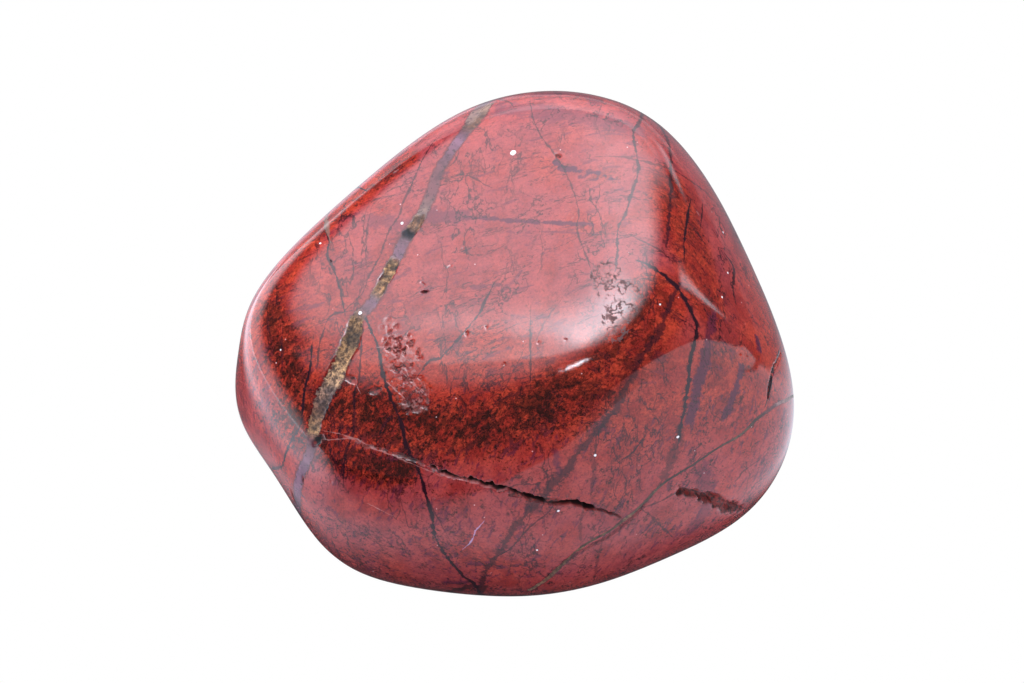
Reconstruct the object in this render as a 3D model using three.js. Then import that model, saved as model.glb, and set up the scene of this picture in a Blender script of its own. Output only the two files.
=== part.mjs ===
// A tumbled and polished red jasper pebble, lying on a small flat spot.
// Millimetres, +Z up. The origin is the middle of the flat spot's plane, and the front looks toward -Y.
import * as THREE from "three";
import { mergeVertices } from "three/addons/utils/BufferGeometryUtils.js";

// The middle of the stone, from which its faces are measured.
const MIDDLE = new THREE.Vector3(-0.1, -0.6, 12);

// The faces that tumbling left. Azimuth 0 is the front and 90 the right, and elevation is above the table.
// The distance is from the middle of the stone to the flat of the face.
const FACES = [
  { azimuth: -20, elevation: 27, distance: 10.3 }, // front
  { azimuth: -29, elevation: 55, distance: 9.2 }, // top, sloping to the front
  { azimuth: 24, elevation: -6, distance: 13.15 }, // front right, low
  { azimuth: -14, elevation: -26, distance: 13.4 }, // front, undercut
  { azimuth: -62, elevation: -14, distance: 15 }, // front left
  { azimuth: -78, elevation: -34, distance: 16.2 }, // left, undercut
  { azimuth: -96, elevation: 6, distance: 14.9 }, // left
  { azimuth: -110, elevation: -25, distance: 14.5 }, // left, low behind
  { azimuth: -122, elevation: 38, distance: 11.6 }, // left shoulder
  { azimuth: -160, elevation: 62, distance: 13.4 }, // top, behind left
  { azimuth: 150, elevation: 64, distance: 15.3 }, // top, behind right
  { azimuth: 128, elevation: 46, distance: 14.9 }, // right shoulder, behind
  { azimuth: 104, elevation: 20, distance: 13.6 }, // right, behind
  { azimuth: 68, elevation: 38, distance: 13.6 }, // right shoulder
  { azimuth: 84, elevation: -14, distance: 16.25 }, // right, low
  { azimuth: 40, elevation: -48, distance: 14.6 }, // right, undercut
  { azimuth: 180, elevation: 0, distance: 13.9 }, // back
  { azimuth: 140, elevation: -42, distance: 14.6 }, // back right, undercut
  { azimuth: -145, elevation: -42, distance: 14.4 }, // back left, undercut
  { azimuth: 0, elevation: -88, distance: 12.3 }, // underside, which the flat spot cuts
];
// How crisp the rounded edges between the faces are: 2 would be an ellipsoid, 40 a cut gem.
const CRISPNESS = 11;

// Broad low swellings, with the angle over which each fades. A negative height is a hollow.
const SWELLINGS = [
  { azimuth: -86, elevation: -15, spread: 13, height: 0.9 },
  { azimuth: -84, elevation: -31, spread: 8, height: -0.3 },
];

// The skin is a sphere's triangles, moved out to the stone's surface.
const SPHERE_DETAIL = 10;
// Near a groove or a pit the triangles are split until their edges fit its width, and they grow away from it.
const EDGE_SHARE = 0.75; // edge as a share of the width
const SHORT_EDGE = 0.22;
const LONG_EDGE = 0.36;
const EDGE_GROWTH = 1.4; // longer edge for each millimetre away
const SPLIT_PASSES = 5;
const SNAP_SHARE = 0.2; // corners this near a groove's middle line, as a share of its width, move onto it

// The front of the stone is described as it is seen from 250 mm away and 30 degrees above the table.
// A seen place is [right, up] in millimetres on the upright plane of sight through VIEW_TARGET.
const VIEW_ELEVATION = 30;
const VIEW_DISTANCE = 250;
const VIEW_TARGET = new THREE.Vector3(-0.1, -0.6, 11.8);
const STONE_REACH = 20; // no point of the stone is further than this from its middle

// Grooves, with the width of their mouth and of their floor.
// Places are [right, up] as seen from the front, and { azimuth, elevation } on the sides that aren't seen.
const OPEN_CRACK = {
  route: [
    [-8.5, -5.3], [-6.6, -6.0], [-4.8, -6.6], [-3.1, -7.3], [-1.5, -7.7],
    [0, -8.1], [1.3, -8.5], [2.2, -8.8], [3.4, -8.7], [4.6, -9.1], [5.9, -9.5],
  ],
  width: 0.34,
  floor: 0.06,
  depth: 0.45,
};
const EDGE_CRACK = {
  route: [[14.5, -0.6], [14.1, -1.5], [13.9, -2.4], [13.8, -3.1]],
  width: 0.2,
  floor: 0.05,
  depth: 0.2,
};
// The brown vein's soft stretches, worn below the polish.
const UPPER_VEIN_HOLLOW = {
  route: [[-4.6, 7.1], [-5.1, 6.3], [-5.7, 5.5]],
  width: 0.6,
  floor: 0.4,
  depth: 0.14,
};
const MIDDLE_VEIN_HOLLOW = {
  route: [[-6.0, 4.9], [-6.4, 4.1], [-6.9, 3.3], [-7.3, 2.5]],
  width: 0.7,
  floor: 0.5,
  depth: 0.12,
};
const LOWER_VEIN_HOLLOW = {
  route: [[-8.4, 1.4], [-8.6, 0.3], [-9.1, -0.8], [-9.6, -1.9], [-10.1, -2.8], [-10.5, -3.8], [-10.7, -4.9]],
  width: 0.95,
  floor: 0.7,
  depth: 0.16,
};
// The vein is a sheet in the rock, so it comes out again behind and below.
const BACK_VEIN_HOLLOW = {
  route: [
    { azimuth: 180, elevation: 43 }, { azimuth: 179, elevation: 25 },
    { azimuth: -176, elevation: 7 }, { azimuth: -171, elevation: -10 },
  ],
  width: 0.9,
  floor: 0.65,
  depth: 0.15,
};
// An olive-grey seam, worn to a shallow channel.
const SEAM_CHANNEL = {
  route: [[1.2, -13.3], [2.9, -11.9], [4.2, -11.1], [5.4, -10.4], [6.4, -9.6], [7.3, -8.7]],
  width: 0.3,
  floor: 0.16,
  depth: 0.1,
};
const BACK_CRACK = {
  route: [
    { azimuth: 128, elevation: 22 }, { azimuth: 138, elevation: 16 },
    { azimuth: 147, elevation: 14 }, { azimuth: 157, elevation: 8 },
  ],
  width: 0.28,
  floor: 0.06,
  depth: 0.3,
};
const GROOVES = [
  OPEN_CRACK,
  EDGE_CRACK,
  UPPER_VEIN_HOLLOW,
  MIDDLE_VEIN_HOLLOW,
  LOWER_VEIN_HOLLOW,
  BACK_VEIN_HOLLOW,
  SEAM_CHANNEL,
  BACK_CRACK,
];
const GROOVE_STEP = 0.5; // length of one straight stretch of a groove
const END_SHARE = 0.3; // share of the width and depth that is left at a groove's ends
const END_BLUNTNESS = 0.25; // how soon a groove reaches its full width: near 0 at once, 1 only halfway along

// Pits, each from one end of its length to the other.
const PITS = [
  { from: [-5.0, 2.65], to: [-4.3, 2.75], width: 0.2, depth: 0.15 },
  { from: [-10.75, -5.6], to: [-10.25, -5.15], width: 0.4, depth: 0.25 },
  { from: [-11.3, -7.1], to: [-11.3, -7.8], width: 0.18, depth: 0.15 },
  { from: [-12.0, -7.8], to: [-11.6, -9.0], width: 0.24, depth: 0.18 },
  { from: [-11.0, -9.6], to: [-10.7, -10.3], width: 0.2, depth: 0.18 },
  { from: [-9.0, -2.0], to: [-8.4, -2.2], width: 0.35, depth: 0.14 },
  { from: [-7.7, -2.7], to: [-7.0, -2.6], width: 0.3, depth: 0.12 },
  { from: [2.3, 10.2], to: [2.7, 9.9], width: 0.25, depth: 0.12 },
  { from: { azimuth: -84, elevation: -27 }, to: { azimuth: -77, elevation: -31 }, width: 0.35, depth: 0.2 },
  { from: { azimuth: -95, elevation: -9 }, to: { azimuth: -92, elevation: -10 }, width: 0.4, depth: 0.25 },
  { from: { azimuth: 160, elevation: -14 }, to: { azimuth: 165, elevation: -17 }, width: 0.7, depth: 0.25 },
  { from: { azimuth: -128, elevation: 8 }, to: { azimuth: -132, elevation: 11 }, width: 0.5, depth: 0.2 },
];

// The chip out of the lower right edge: three breaks that run into each other.
const CHIP = [
  { from: [9.1, -8.1], to: [10.4, -8.4], width: 0.6, depth: 0.35 },
  { from: [10.2, -8.3], to: [11.8, -8.9], width: 0.9, depth: 0.45 },
  { from: [11.4, -8.7], to: [12.3, -9.0], width: 0.7, depth: 0.4 },
];

// Patches of many small pits, scattered along a strip from one place to another. Size is a pit's length.
const PITTED_PATCHES = [
  { from: [-6.4, 0.8], to: [-5.2, -3.3], spread: 1.5, count: 10, size: 0.6, depth: 0.15 },
  { from: [5.0, 3.9], to: [6.4, 0.8], spread: 2.0, count: 8, size: 0.5, depth: 0.12 },
];
const GOLDEN_SHARE = 0.618; // steps of this share of the spread never line up
const PIT_SLANT = 0.55; // how far each pit of a patch leans along the strip
const PIT_WIDTH_SHARE = 0.55; // width of a patch's pits as a share of their length
const SHALLOWEST_SHARE = 0.7; // depths in a patch run from this share of the given depth to DEEPEST_SHARE
const DEEPEST_SHARE = 1.3;

const TABLE = 0;

// Steps for finding the skin: along a line of sight, in halving the last step, and for the skin's slope.
const SIGHT_STEP = 0.2;
const HALVINGS = 20;
const SLOPE_STEP = 0.05;

// The unit vector toward a direction of the compass and a height above the table.
function direction({ azimuth, elevation }) {
  const turn = THREE.MathUtils.degToRad(azimuth);
  const rise = THREE.MathUtils.degToRad(elevation);
  return new THREE.Vector3(
    Math.sin(turn) * Math.cos(rise),
    -Math.cos(turn) * Math.cos(rise),
    Math.sin(rise),
  );
}

const faces = FACES.map((face) => ({ normal: direction(face), distance: face.distance }));
const swellings = SWELLINGS.map((swelling) => ({ ...swelling, peak: direction(swelling) }));

// How far the skin is from the middle along a unit vector.
function reach(toward) {
  let sum = 0;
  for (const { normal, distance } of faces) {
    sum += Math.max(0, toward.dot(normal) / distance) ** CRISPNESS;
  }
  let length = sum ** (-1 / CRISPNESS);
  for (const { peak, spread, height } of swellings) {
    const angle = THREE.MathUtils.radToDeg(toward.angleTo(peak));
    length += height * Math.exp(-((angle / spread) ** 2));
  }
  // The flat spot cuts the stone off at the table.
  const toTable = toward.z < 0 ? (MIDDLE.z - TABLE) / -toward.z : Infinity;
  return Math.min(length, toTable);
}

// The point of the skin that lies on the line from the middle through a point.
function onSkin(point) {
  const toward = point.clone().sub(MIDDLE).normalize();
  return toward.multiplyScalar(reach(toward)).add(MIDDLE);
}

// How far a point is outside the skin; inside it is negative.
function height(point) {
  return point.distanceTo(MIDDLE) - onSkin(point).distanceTo(MIDDLE);
}

function skinNormal(point) {
  const slope = ["x", "y", "z"].map((axis) => {
    const ahead = point.clone();
    const behind = point.clone();
    ahead[axis] += SLOPE_STEP;
    behind[axis] -= SLOPE_STEP;
    return height(ahead) - height(behind);
  });
  return new THREE.Vector3(...slope).normalize();
}

// The point of the skin that is seen at a place on the plane of sight.
function seenPoint([right, up]) {
  const rise = THREE.MathUtils.degToRad(VIEW_ELEVATION);
  const back = new THREE.Vector3(0, -Math.cos(rise), Math.sin(rise));
  const upward = new THREE.Vector3(0, Math.sin(rise), Math.cos(rise));
  const eye = VIEW_TARGET.clone().addScaledVector(back, VIEW_DISTANCE);
  const place = VIEW_TARGET.clone().addScaledVector(upward, up);
  place.x += right;
  const sight = place.sub(eye).normalize();
  let outside = VIEW_DISTANCE - STONE_REACH;
  while (height(eye.clone().addScaledVector(sight, outside + SIGHT_STEP)) > 0) {
    outside += SIGHT_STEP;
    if (outside > VIEW_DISTANCE + STONE_REACH) {
      throw new Error(`no stone is seen at ${right}, ${up}`);
    }
  }
  let inside = outside + SIGHT_STEP;
  for (let halving = 0; halving < HALVINGS; halving += 1) {
    const between = (outside + inside) / 2;
    if (height(eye.clone().addScaledVector(sight, between)) > 0) {
      outside = between;
    } else {
      inside = between;
    }
  }
  return eye.addScaledVector(sight, inside);
}

function placeOnSkin(place) {
  return Array.isArray(place) ? seenPoint(place) : onSkin(direction(place).add(MIDDLE));
}

// A groove as straight stretches along the skin, with how far along the whole each one starts.
function grooveOnSkin({ route, width, floor, depth }) {
  const curve = new THREE.CatmullRomCurve3(route.map(placeOnSkin));
  const count = Math.ceil(curve.getLength() / GROOVE_STEP);
  const points = curve.getSpacedPoints(count).map(onSkin);
  const stretches = points.slice(1).map((point, i) => new THREE.Line3(points[i], point));
  return { stretches, width, floor, depth };
}

// The place on a groove's middle line that is nearest to a point, and how far along the groove it is.
function nearestOnGroove({ stretches }, point) {
  let nearest = { distance: Infinity };
  stretches.forEach((stretch, i) => {
    const part = stretch.closestPointToPointParameter(point, true);
    const place = stretch.at(part, new THREE.Vector3());
    const distance = place.distanceTo(point);
    if (distance < nearest.distance) {
      nearest = { distance, place, share: (i + part) / stretches.length };
    }
  });
  return nearest;
}

// How deep a groove is at a distance from its middle line: flat on its floor, then sloping up to its mouth.
function grooveDepth({ width, floor, depth }, { distance, share }) {
  const fromEnds = 4 * share * (1 - share); // 0 at both ends, 1 halfway
  const fullness = END_SHARE + (1 - END_SHARE) * fromEnds ** END_BLUNTNESS;
  const fromMouth = (fullness * width) / 2 - distance;
  const slope = (fullness * (width - floor)) / 2;
  return depth * fullness * THREE.MathUtils.clamp(fromMouth / slope, 0, 1);
}

// A pit's own frame on the skin: its length, its width and the way out of the stone.
function pitOnSkin({ from, to, width, depth }) {
  const start = placeOnSkin(from);
  const finish = placeOnSkin(to);
  const middle = onSkin(start.clone().lerp(finish, 0.5));
  const outward = skinNormal(middle);
  const across = new THREE.Vector3().crossVectors(outward, finish.clone().sub(start)).normalize();
  const along = new THREE.Vector3().crossVectors(across, outward);
  return { middle, along, across, halfLength: start.distanceTo(finish) / 2, halfWidth: width / 2, depth };
}

// 0 at the middle of a pit, and 1 at its rim.
function pitShare({ middle, along, across, halfLength, halfWidth }, point) {
  const offset = point.clone().sub(middle);
  return Math.hypot(offset.dot(along) / halfLength, offset.dot(across) / halfWidth);
}

// The pits of a patch, side by side along its strip in steps that never line up.
function patchPits({ from, to, spread, count, size, depth }) {
  const start = new THREE.Vector2(...from);
  const run = new THREE.Vector2(...to).sub(start);
  const across = new THREE.Vector2(-run.y, run.x).normalize();
  return Array.from({ length: count }, (_, i) => {
    const aside = (((i * GOLDEN_SHARE) % 1) - 0.5) * spread;
    const middle = start.clone().addScaledVector(run, (i + 0.5) / count).addScaledVector(across, aside);
    const half = across.clone().addScaledVector(run.clone().normalize(), PIT_SLANT).multiplyScalar(size / 2);
    const deepening = (2 * i * GOLDEN_SHARE) % 1;
    return {
      from: middle.clone().sub(half).toArray(),
      to: middle.clone().add(half).toArray(),
      width: size * PIT_WIDTH_SHARE,
      depth: depth * THREE.MathUtils.lerp(SHALLOWEST_SHARE, DEEPEST_SHARE, deepening),
    };
  });
}

const grooves = GROOVES.map(grooveOnSkin);
const pits = [...PITS, ...CHIP, ...PITTED_PATCHES.flatMap(patchPits)].map(pitOnSkin);

// The longest edge that shows the relief at a point of the skin.
function longestEdge(point) {
  const beyondGroove = (groove) => nearestOnGroove(groove, point).distance - groove.width / 2;
  const beyondPit = (pit) => point.distanceTo(pit.middle) - Math.max(pit.halfLength, pit.halfWidth);
  const fitted = (width) => THREE.MathUtils.clamp(EDGE_SHARE * width, SHORT_EDGE, LONG_EDGE);
  const edge = (width, beyond) => fitted(width) + EDGE_GROWTH * Math.max(0, beyond);
  return Math.min(
    ...grooves.map((groove) => edge(groove.width, beyondGroove(groove))),
    ...pits.map((pit) => edge(2 * pit.halfWidth, beyondPit(pit))),
  );
}

// The stone's surface along a unit vector, with its relief worn and broken out of the skin.
function onStone(toward) {
  let skin = onSkin(toward.clone().add(MIDDLE));
  let depth = 0;
  for (const groove of grooves) {
    const nearest = nearestOnGroove(groove, skin);
    // A corner beside the middle of a groove moves onto it, so that the floor runs straight.
    if (nearest.distance < SNAP_SHARE * groove.width) {
      skin = nearest.place;
      nearest.distance = 0;
    }
    depth = Math.max(depth, grooveDepth(groove, nearest));
  }
  for (const pit of pits) {
    const share = pitShare(pit, skin);
    depth = Math.max(depth, pit.depth * (1 - share * share));
  }
  const inward = MIDDLE.clone().sub(skin).normalize();
  const point = skin.clone().addScaledVector(inward, depth);
  point.z = Math.max(point.z, TABLE);
  return point;
}

// Splits each edge that is too long for its place, and the triangles that share it.
function splitLongEdges(directions, triangles) {
  const middles = new Map();
  const middleOf = (a, b) => {
    const key = [Math.min(a, b), Math.max(a, b)].join();
    if (!middles.has(key)) {
      const middle = directions[a].clone().add(directions[b]).normalize();
      const skin = onSkin(middle.clone().add(MIDDLE));
      const length = directions[a].angleTo(directions[b]) * skin.distanceTo(MIDDLE);
      middles.set(key, length > longestEdge(skin) ? directions.push(middle) - 1 : null);
    }
    return middles.get(key);
  };
  return triangles.flatMap(([a, b, c]) => {
    // Turned so that an edge that stays whole comes last.
    const turns = [[a, b, c], [b, c, a], [c, a, b]];
    const turned = turns.find(([p, q, r]) => middleOf(p, q) !== null && middleOf(r, p) === null);
    if (middleOf(a, b) !== null && middleOf(b, c) !== null && middleOf(c, a) !== null) {
      const [ab, bc, ca] = [middleOf(a, b), middleOf(b, c), middleOf(c, a)];
      return [[a, ab, ca], [ab, b, bc], [ca, bc, c], [ab, bc, ca]];
    }
    if (!turned) {
      return [[a, b, c]];
    }
    const [p, q, r] = turned;
    const pq = middleOf(p, q);
    const qr = middleOf(q, r);
    return qr === null ? [[p, pq, r], [pq, q, r]] : [[pq, q, qr], [p, pq, qr], [p, qr, r]];
  });
}

// A closed skin round the middle, with one corner for each direction.
function stoneGeometry() {
  const sphere = new THREE.IcosahedronGeometry(1, SPHERE_DETAIL);
  sphere.deleteAttribute("normal");
  sphere.deleteAttribute("uv");
  const { attributes, index } = mergeVertices(sphere);
  const directions = Array.from({ length: attributes.position.count }, (_, i) =>
    new THREE.Vector3().fromBufferAttribute(attributes.position, i),
  );
  let triangles = Array.from({ length: index.count / 3 }, (_, i) => [...index.array.slice(3 * i, 3 * i + 3)]);
  for (let pass = 0; pass < SPLIT_PASSES; pass += 1) {
    triangles = splitLongEdges(directions, triangles);
  }
  const geometry = new THREE.BufferGeometry().setFromPoints(directions.map(onStone));
  geometry.setIndex(triangles.flat());
  geometry.computeVertexNormals();
  return geometry;
}

function jasperStone() {
  const mesh = new THREE.Mesh(
    stoneGeometry(),
    new THREE.MeshStandardMaterial({ color: 0x8f2a1c, roughness: 0.12, metalness: 0 }),
  );
  mesh.name = "jasper_stone";
  return mesh;
}

const pebble = new THREE.Group();
pebble.add(jasperStone());

export default pebble;
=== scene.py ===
import math
from typing import NamedTuple

import bmesh
import bpy
import numpy as np
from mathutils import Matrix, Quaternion, Vector, kdtree, noise


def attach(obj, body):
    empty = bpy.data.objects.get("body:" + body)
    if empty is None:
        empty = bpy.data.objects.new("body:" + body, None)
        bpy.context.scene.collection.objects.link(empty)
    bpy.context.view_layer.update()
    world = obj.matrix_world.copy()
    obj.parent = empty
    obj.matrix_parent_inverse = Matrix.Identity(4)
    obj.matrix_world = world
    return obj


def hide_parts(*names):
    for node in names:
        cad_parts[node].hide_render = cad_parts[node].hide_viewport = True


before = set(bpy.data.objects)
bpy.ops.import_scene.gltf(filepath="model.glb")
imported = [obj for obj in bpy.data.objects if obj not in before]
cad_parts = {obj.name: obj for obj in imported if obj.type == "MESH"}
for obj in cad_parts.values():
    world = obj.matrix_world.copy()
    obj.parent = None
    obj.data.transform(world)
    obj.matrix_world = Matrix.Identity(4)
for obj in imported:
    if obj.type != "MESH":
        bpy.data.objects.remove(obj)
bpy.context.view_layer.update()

MM = 0.001  # metres in a millimetre

# The stone's faces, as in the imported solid: azimuth (0 is the front, 90 the right), elevation, and distance
# from the middle in millimetres.
MIDDLE = np.array([-0.1, -0.6, 12.0])
FACES = [
    (-20, 27, 10.3),  # front
    (-29, 55, 9.2),  # top, sloping to the front
    (24, -6, 13.15),  # front right, low
    (-14, -26, 13.4),  # front, undercut
    (-62, -14, 15.0),  # front left
    (-78, -34, 16.2),  # left, undercut
    (-96, 6, 14.9),  # left
    (-110, -25, 14.5),  # left, low behind
    (-122, 38, 11.6),  # left shoulder
    (-160, 62, 13.4),  # top, behind left
    (150, 64, 15.3),  # top, behind right
    (128, 46, 14.9),  # right shoulder, behind
    (104, 20, 13.6),  # right, behind
    (68, 38, 13.6),  # right shoulder
    (84, -14, 16.25),  # right, low
    (40, -48, 14.6),  # right, undercut
    (180, 0, 13.9),  # back
    (140, -42, 14.6),  # back right, undercut
    (-145, -42, 14.4),  # back left, undercut
    (0, -88, 12.3),  # underside, which the flat spot cuts
]
CRISPNESS = 11
# Azimuth, elevation, spread in degrees and height of the broad swellings.
SWELLINGS = [(-86, -15, 13, 0.9), (-84, -31, 8, -0.3)]
TABLE_ROUNDING = 0.2  # how softly the flat spot's rim turns up

# The camera's place, and the plane on which places seen from the front are given as (right, up).
VIEW_ELEVATION = 30
VIEW_DISTANCE = 250
VIEW_TARGET = np.array([-0.1, -0.6, 11.8])
MM_PER_PIXEL = 0.054  # on that plane, in the photograph's frame
PICTURE_WIDTH = 1024
SENSOR_WIDTH = 36
# A line of sight starts this far before the target, and finds the skin in steps of a share of the way left.
STONE_REACH = 20
SIGHT_STEPS = 60
SAFE_SHARE = 0.6
SLOPE_STEP = 0.02  # from a point to where the slope around it is measured


class Behind(NamedTuple):
    """A place on a side that isn't seen from the front, in degrees."""

    azimuth: float
    elevation: float


def behind(*places):
    """A way over the sides that aren't seen, through these azimuths and elevations."""
    return [Behind(*place) for place in places]


class Line(NamedTuple):
    """A thin line through the places, with its half width and how dark or pale it is, from 0 to 1."""

    places: list
    half_width: float = 0.04
    strength: float = 0.8
    tint: tuple = (0, 0, 0)


class Groove(NamedTuple):
    """Relief along the places: widths of the mouth and of the floor, depth, and how ragged it is."""

    places: list
    width: float
    floor: float
    depth: float
    raggedness: float = 0.3


class Pit(NamedTuple):
    """A scoop from one place to another."""

    start: tuple
    finish: tuple
    width: float
    depth: float


class Patch(NamedTuple):
    """A worn stretch of skin along a strip: its reach to each side, its flakes' size, depth and share, how
    chalky it is, and whether it is a flat net of fine cracks instead."""

    places: list
    reach: float
    size: float
    depth: float
    share: float
    chalkiness: float
    is_netted: bool = False


class VeinPlace(NamedTuple):
    """One place along a filled vein: its half width, its colour, and how crumbly the filling is."""

    place: tuple
    half_width: float
    colour: tuple
    crumble: float


# Vein fillings, as linear colours.
LAVENDER = (0.085, 0.024, 0.042)
PALE_LAVENDER = (0.13, 0.050, 0.088)
GREY = (0.10, 0.024, 0.032)
BEIGE = (0.17, 0.10, 0.08)
BROWN = (0.095, 0.040, 0.025)
TAN = (0.16, 0.075, 0.04)
OCHRE = (0.20, 0.115, 0.058)
SAND = (0.27, 0.17, 0.10)
OLIVE = (0.085, 0.048, 0.024)
UMBER = (0.035, 0.018, 0.010)
BLUE_BLACK = (0.008, 0.008, 0.014)
PALE_YELLOW = (0.28, 0.17, 0.11)
CRYSTAL = (0.22, 0.12, 0.12)

MAIN_VEIN = [VeinPlace(*row) for row in [
    ((-1.4, 12.7), 0.30, BEIGE, 0.2),
    ((-1.8, 12.1), 0.34, BROWN, 0.6),
    ((-2.3, 11.6), 0.36, BROWN, 0.6),
    ((-2.6, 11.2), 0.32, LAVENDER, 0),
    ((-2.9, 10.8), 0.30, PALE_LAVENDER, 0),
    ((-3.5, 10.0), 0.27, LAVENDER, 0),
    ((-4.0, 9.1), 0.30, GREY, 0),
    ((-4.4, 7.9), 0.30, GREY, 0),
    ((-4.9, 6.9), 0.30, BEIGE, 0.2),
    ((-5.0, 6.7), 0.34, TAN, 0.8),
    ((-5.3, 6.2), 0.34, TAN, 0.8),
    ((-5.5, 5.95), 0.36, BLUE_BLACK, 1),
    ((-5.65, 5.7), 0.34, BLUE_BLACK, 1),
    ((-5.8, 5.45), 0.34, LAVENDER, 0.3),
    ((-6.2, 4.6), 0.34, PALE_LAVENDER, 0.1),
    ((-6.4, 4.3), 0.32, OCHRE, 0.9),
    ((-6.9, 3.3), 0.34, OCHRE, 1),
    ((-7.3, 2.5), 0.34, TAN, 0.7),
    ((-7.5, 2.2), 0.30, PALE_LAVENDER, 0.1),
    ((-8.0, 1.6), 0.30, GREY, 0.3),
    ((-8.4, 1.2), 0.36, OCHRE, 1),
    ((-8.6, 0.3), 0.44, OLIVE, 1),
    ((-9.1, -0.8), 0.48, OCHRE, 1),
    ((-9.6, -1.9), 0.48, SAND, 1),
    ((-10.1, -2.8), 0.44, BEIGE, 1),
    ((-10.5, -3.8), 0.38, BROWN, 1),
    ((-10.7, -4.9), 0.36, OCHRE, 0.9),
    ((-10.8, -5.3), 0.30, GREY, 0.5),
    ((-10.9, -6.0), 0.26, LAVENDER, 0),
    ((-11.3, -6.9), 0.28, PALE_LAVENDER, 0),
    ((-11.6, -8.0), 0.28, PALE_LAVENDER, 0.1),
    (Behind(-60, -26), 0.30, LAVENDER, 0),
    (Behind(-75, -40), 0.30, LAVENDER, 0),
    (Behind(-98, -48), 0.36, OLIVE, 0.6),
    (Behind(-125, -47), 0.40, OCHRE, 0.8),
    (Behind(-147, -39), 0.36, PALE_LAVENDER, 0),
    (Behind(-162, -26), 0.34, LAVENDER, 0),
    (Behind(-171, -10), 0.40, BEIGE, 0.8),
    (Behind(-176, 7), 0.44, OCHRE, 1),
    (Behind(179, 25), 0.44, SAND, 1),
    (Behind(180, 43), 0.38, BROWN, 0.8),
    (Behind(-172, 60), 0.34, LAVENDER, 0),
    (Behind(-142, 73), 0.36, BEIGE, 0.1),
    ((-1.4, 12.7), 0.30, BEIGE, 0.2),
]]

SEAM = [VeinPlace(*row) for row in [
    ((1.0, -13.4), 0.12, PALE_YELLOW, 0.5),
    ((1.8, -12.9), 0.11, TAN, 0.6),
    ((2.9, -11.9), 0.10, TAN, 0.8),
    ((3.9, -11.0), 0.08, OLIVE, 0.8),
    ((5.3, -10.2), 0.07, OLIVE, 0.8),
    ((6.1, -9.6), 0.12, TAN, 0.7),
    ((6.9, -9.0), 0.12, OLIVE, 0.5),
    ((7.7, -8.1), 0.08, OLIVE, 0.5),
    ((8.4, -7.5), 0.07, UMBER, 0.4),
    ((9.7, -6.7), 0.06, UMBER, 0.4),
    ((11.2, -5.7), 0.06, UMBER, 0.4),
    ((12.4, -5.0), 0.08, OLIVE, 0.4),
    ((13.2, -4.2), 0.10, UMBER, 0.4),
    ((14.0, -3.6), 0.10, GREY, 0.4),
    ((14.5, -3.3), 0.10, CRYSTAL, 0.4),
    (Behind(74, -4), 0.08, OLIVE, 0.4),
    (Behind(85, -11), 0.08, OLIVE, 0.5),
    (Behind(97, -18), 0.07, OLIVE, 0.5),
    (Behind(107, -29), 0.10, TAN, 0.6),
    (Behind(111, -42), 0.10, OLIVE, 0.6),
    (Behind(109, -55), 0.09, OLIVE, 0.6),
]]

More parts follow.
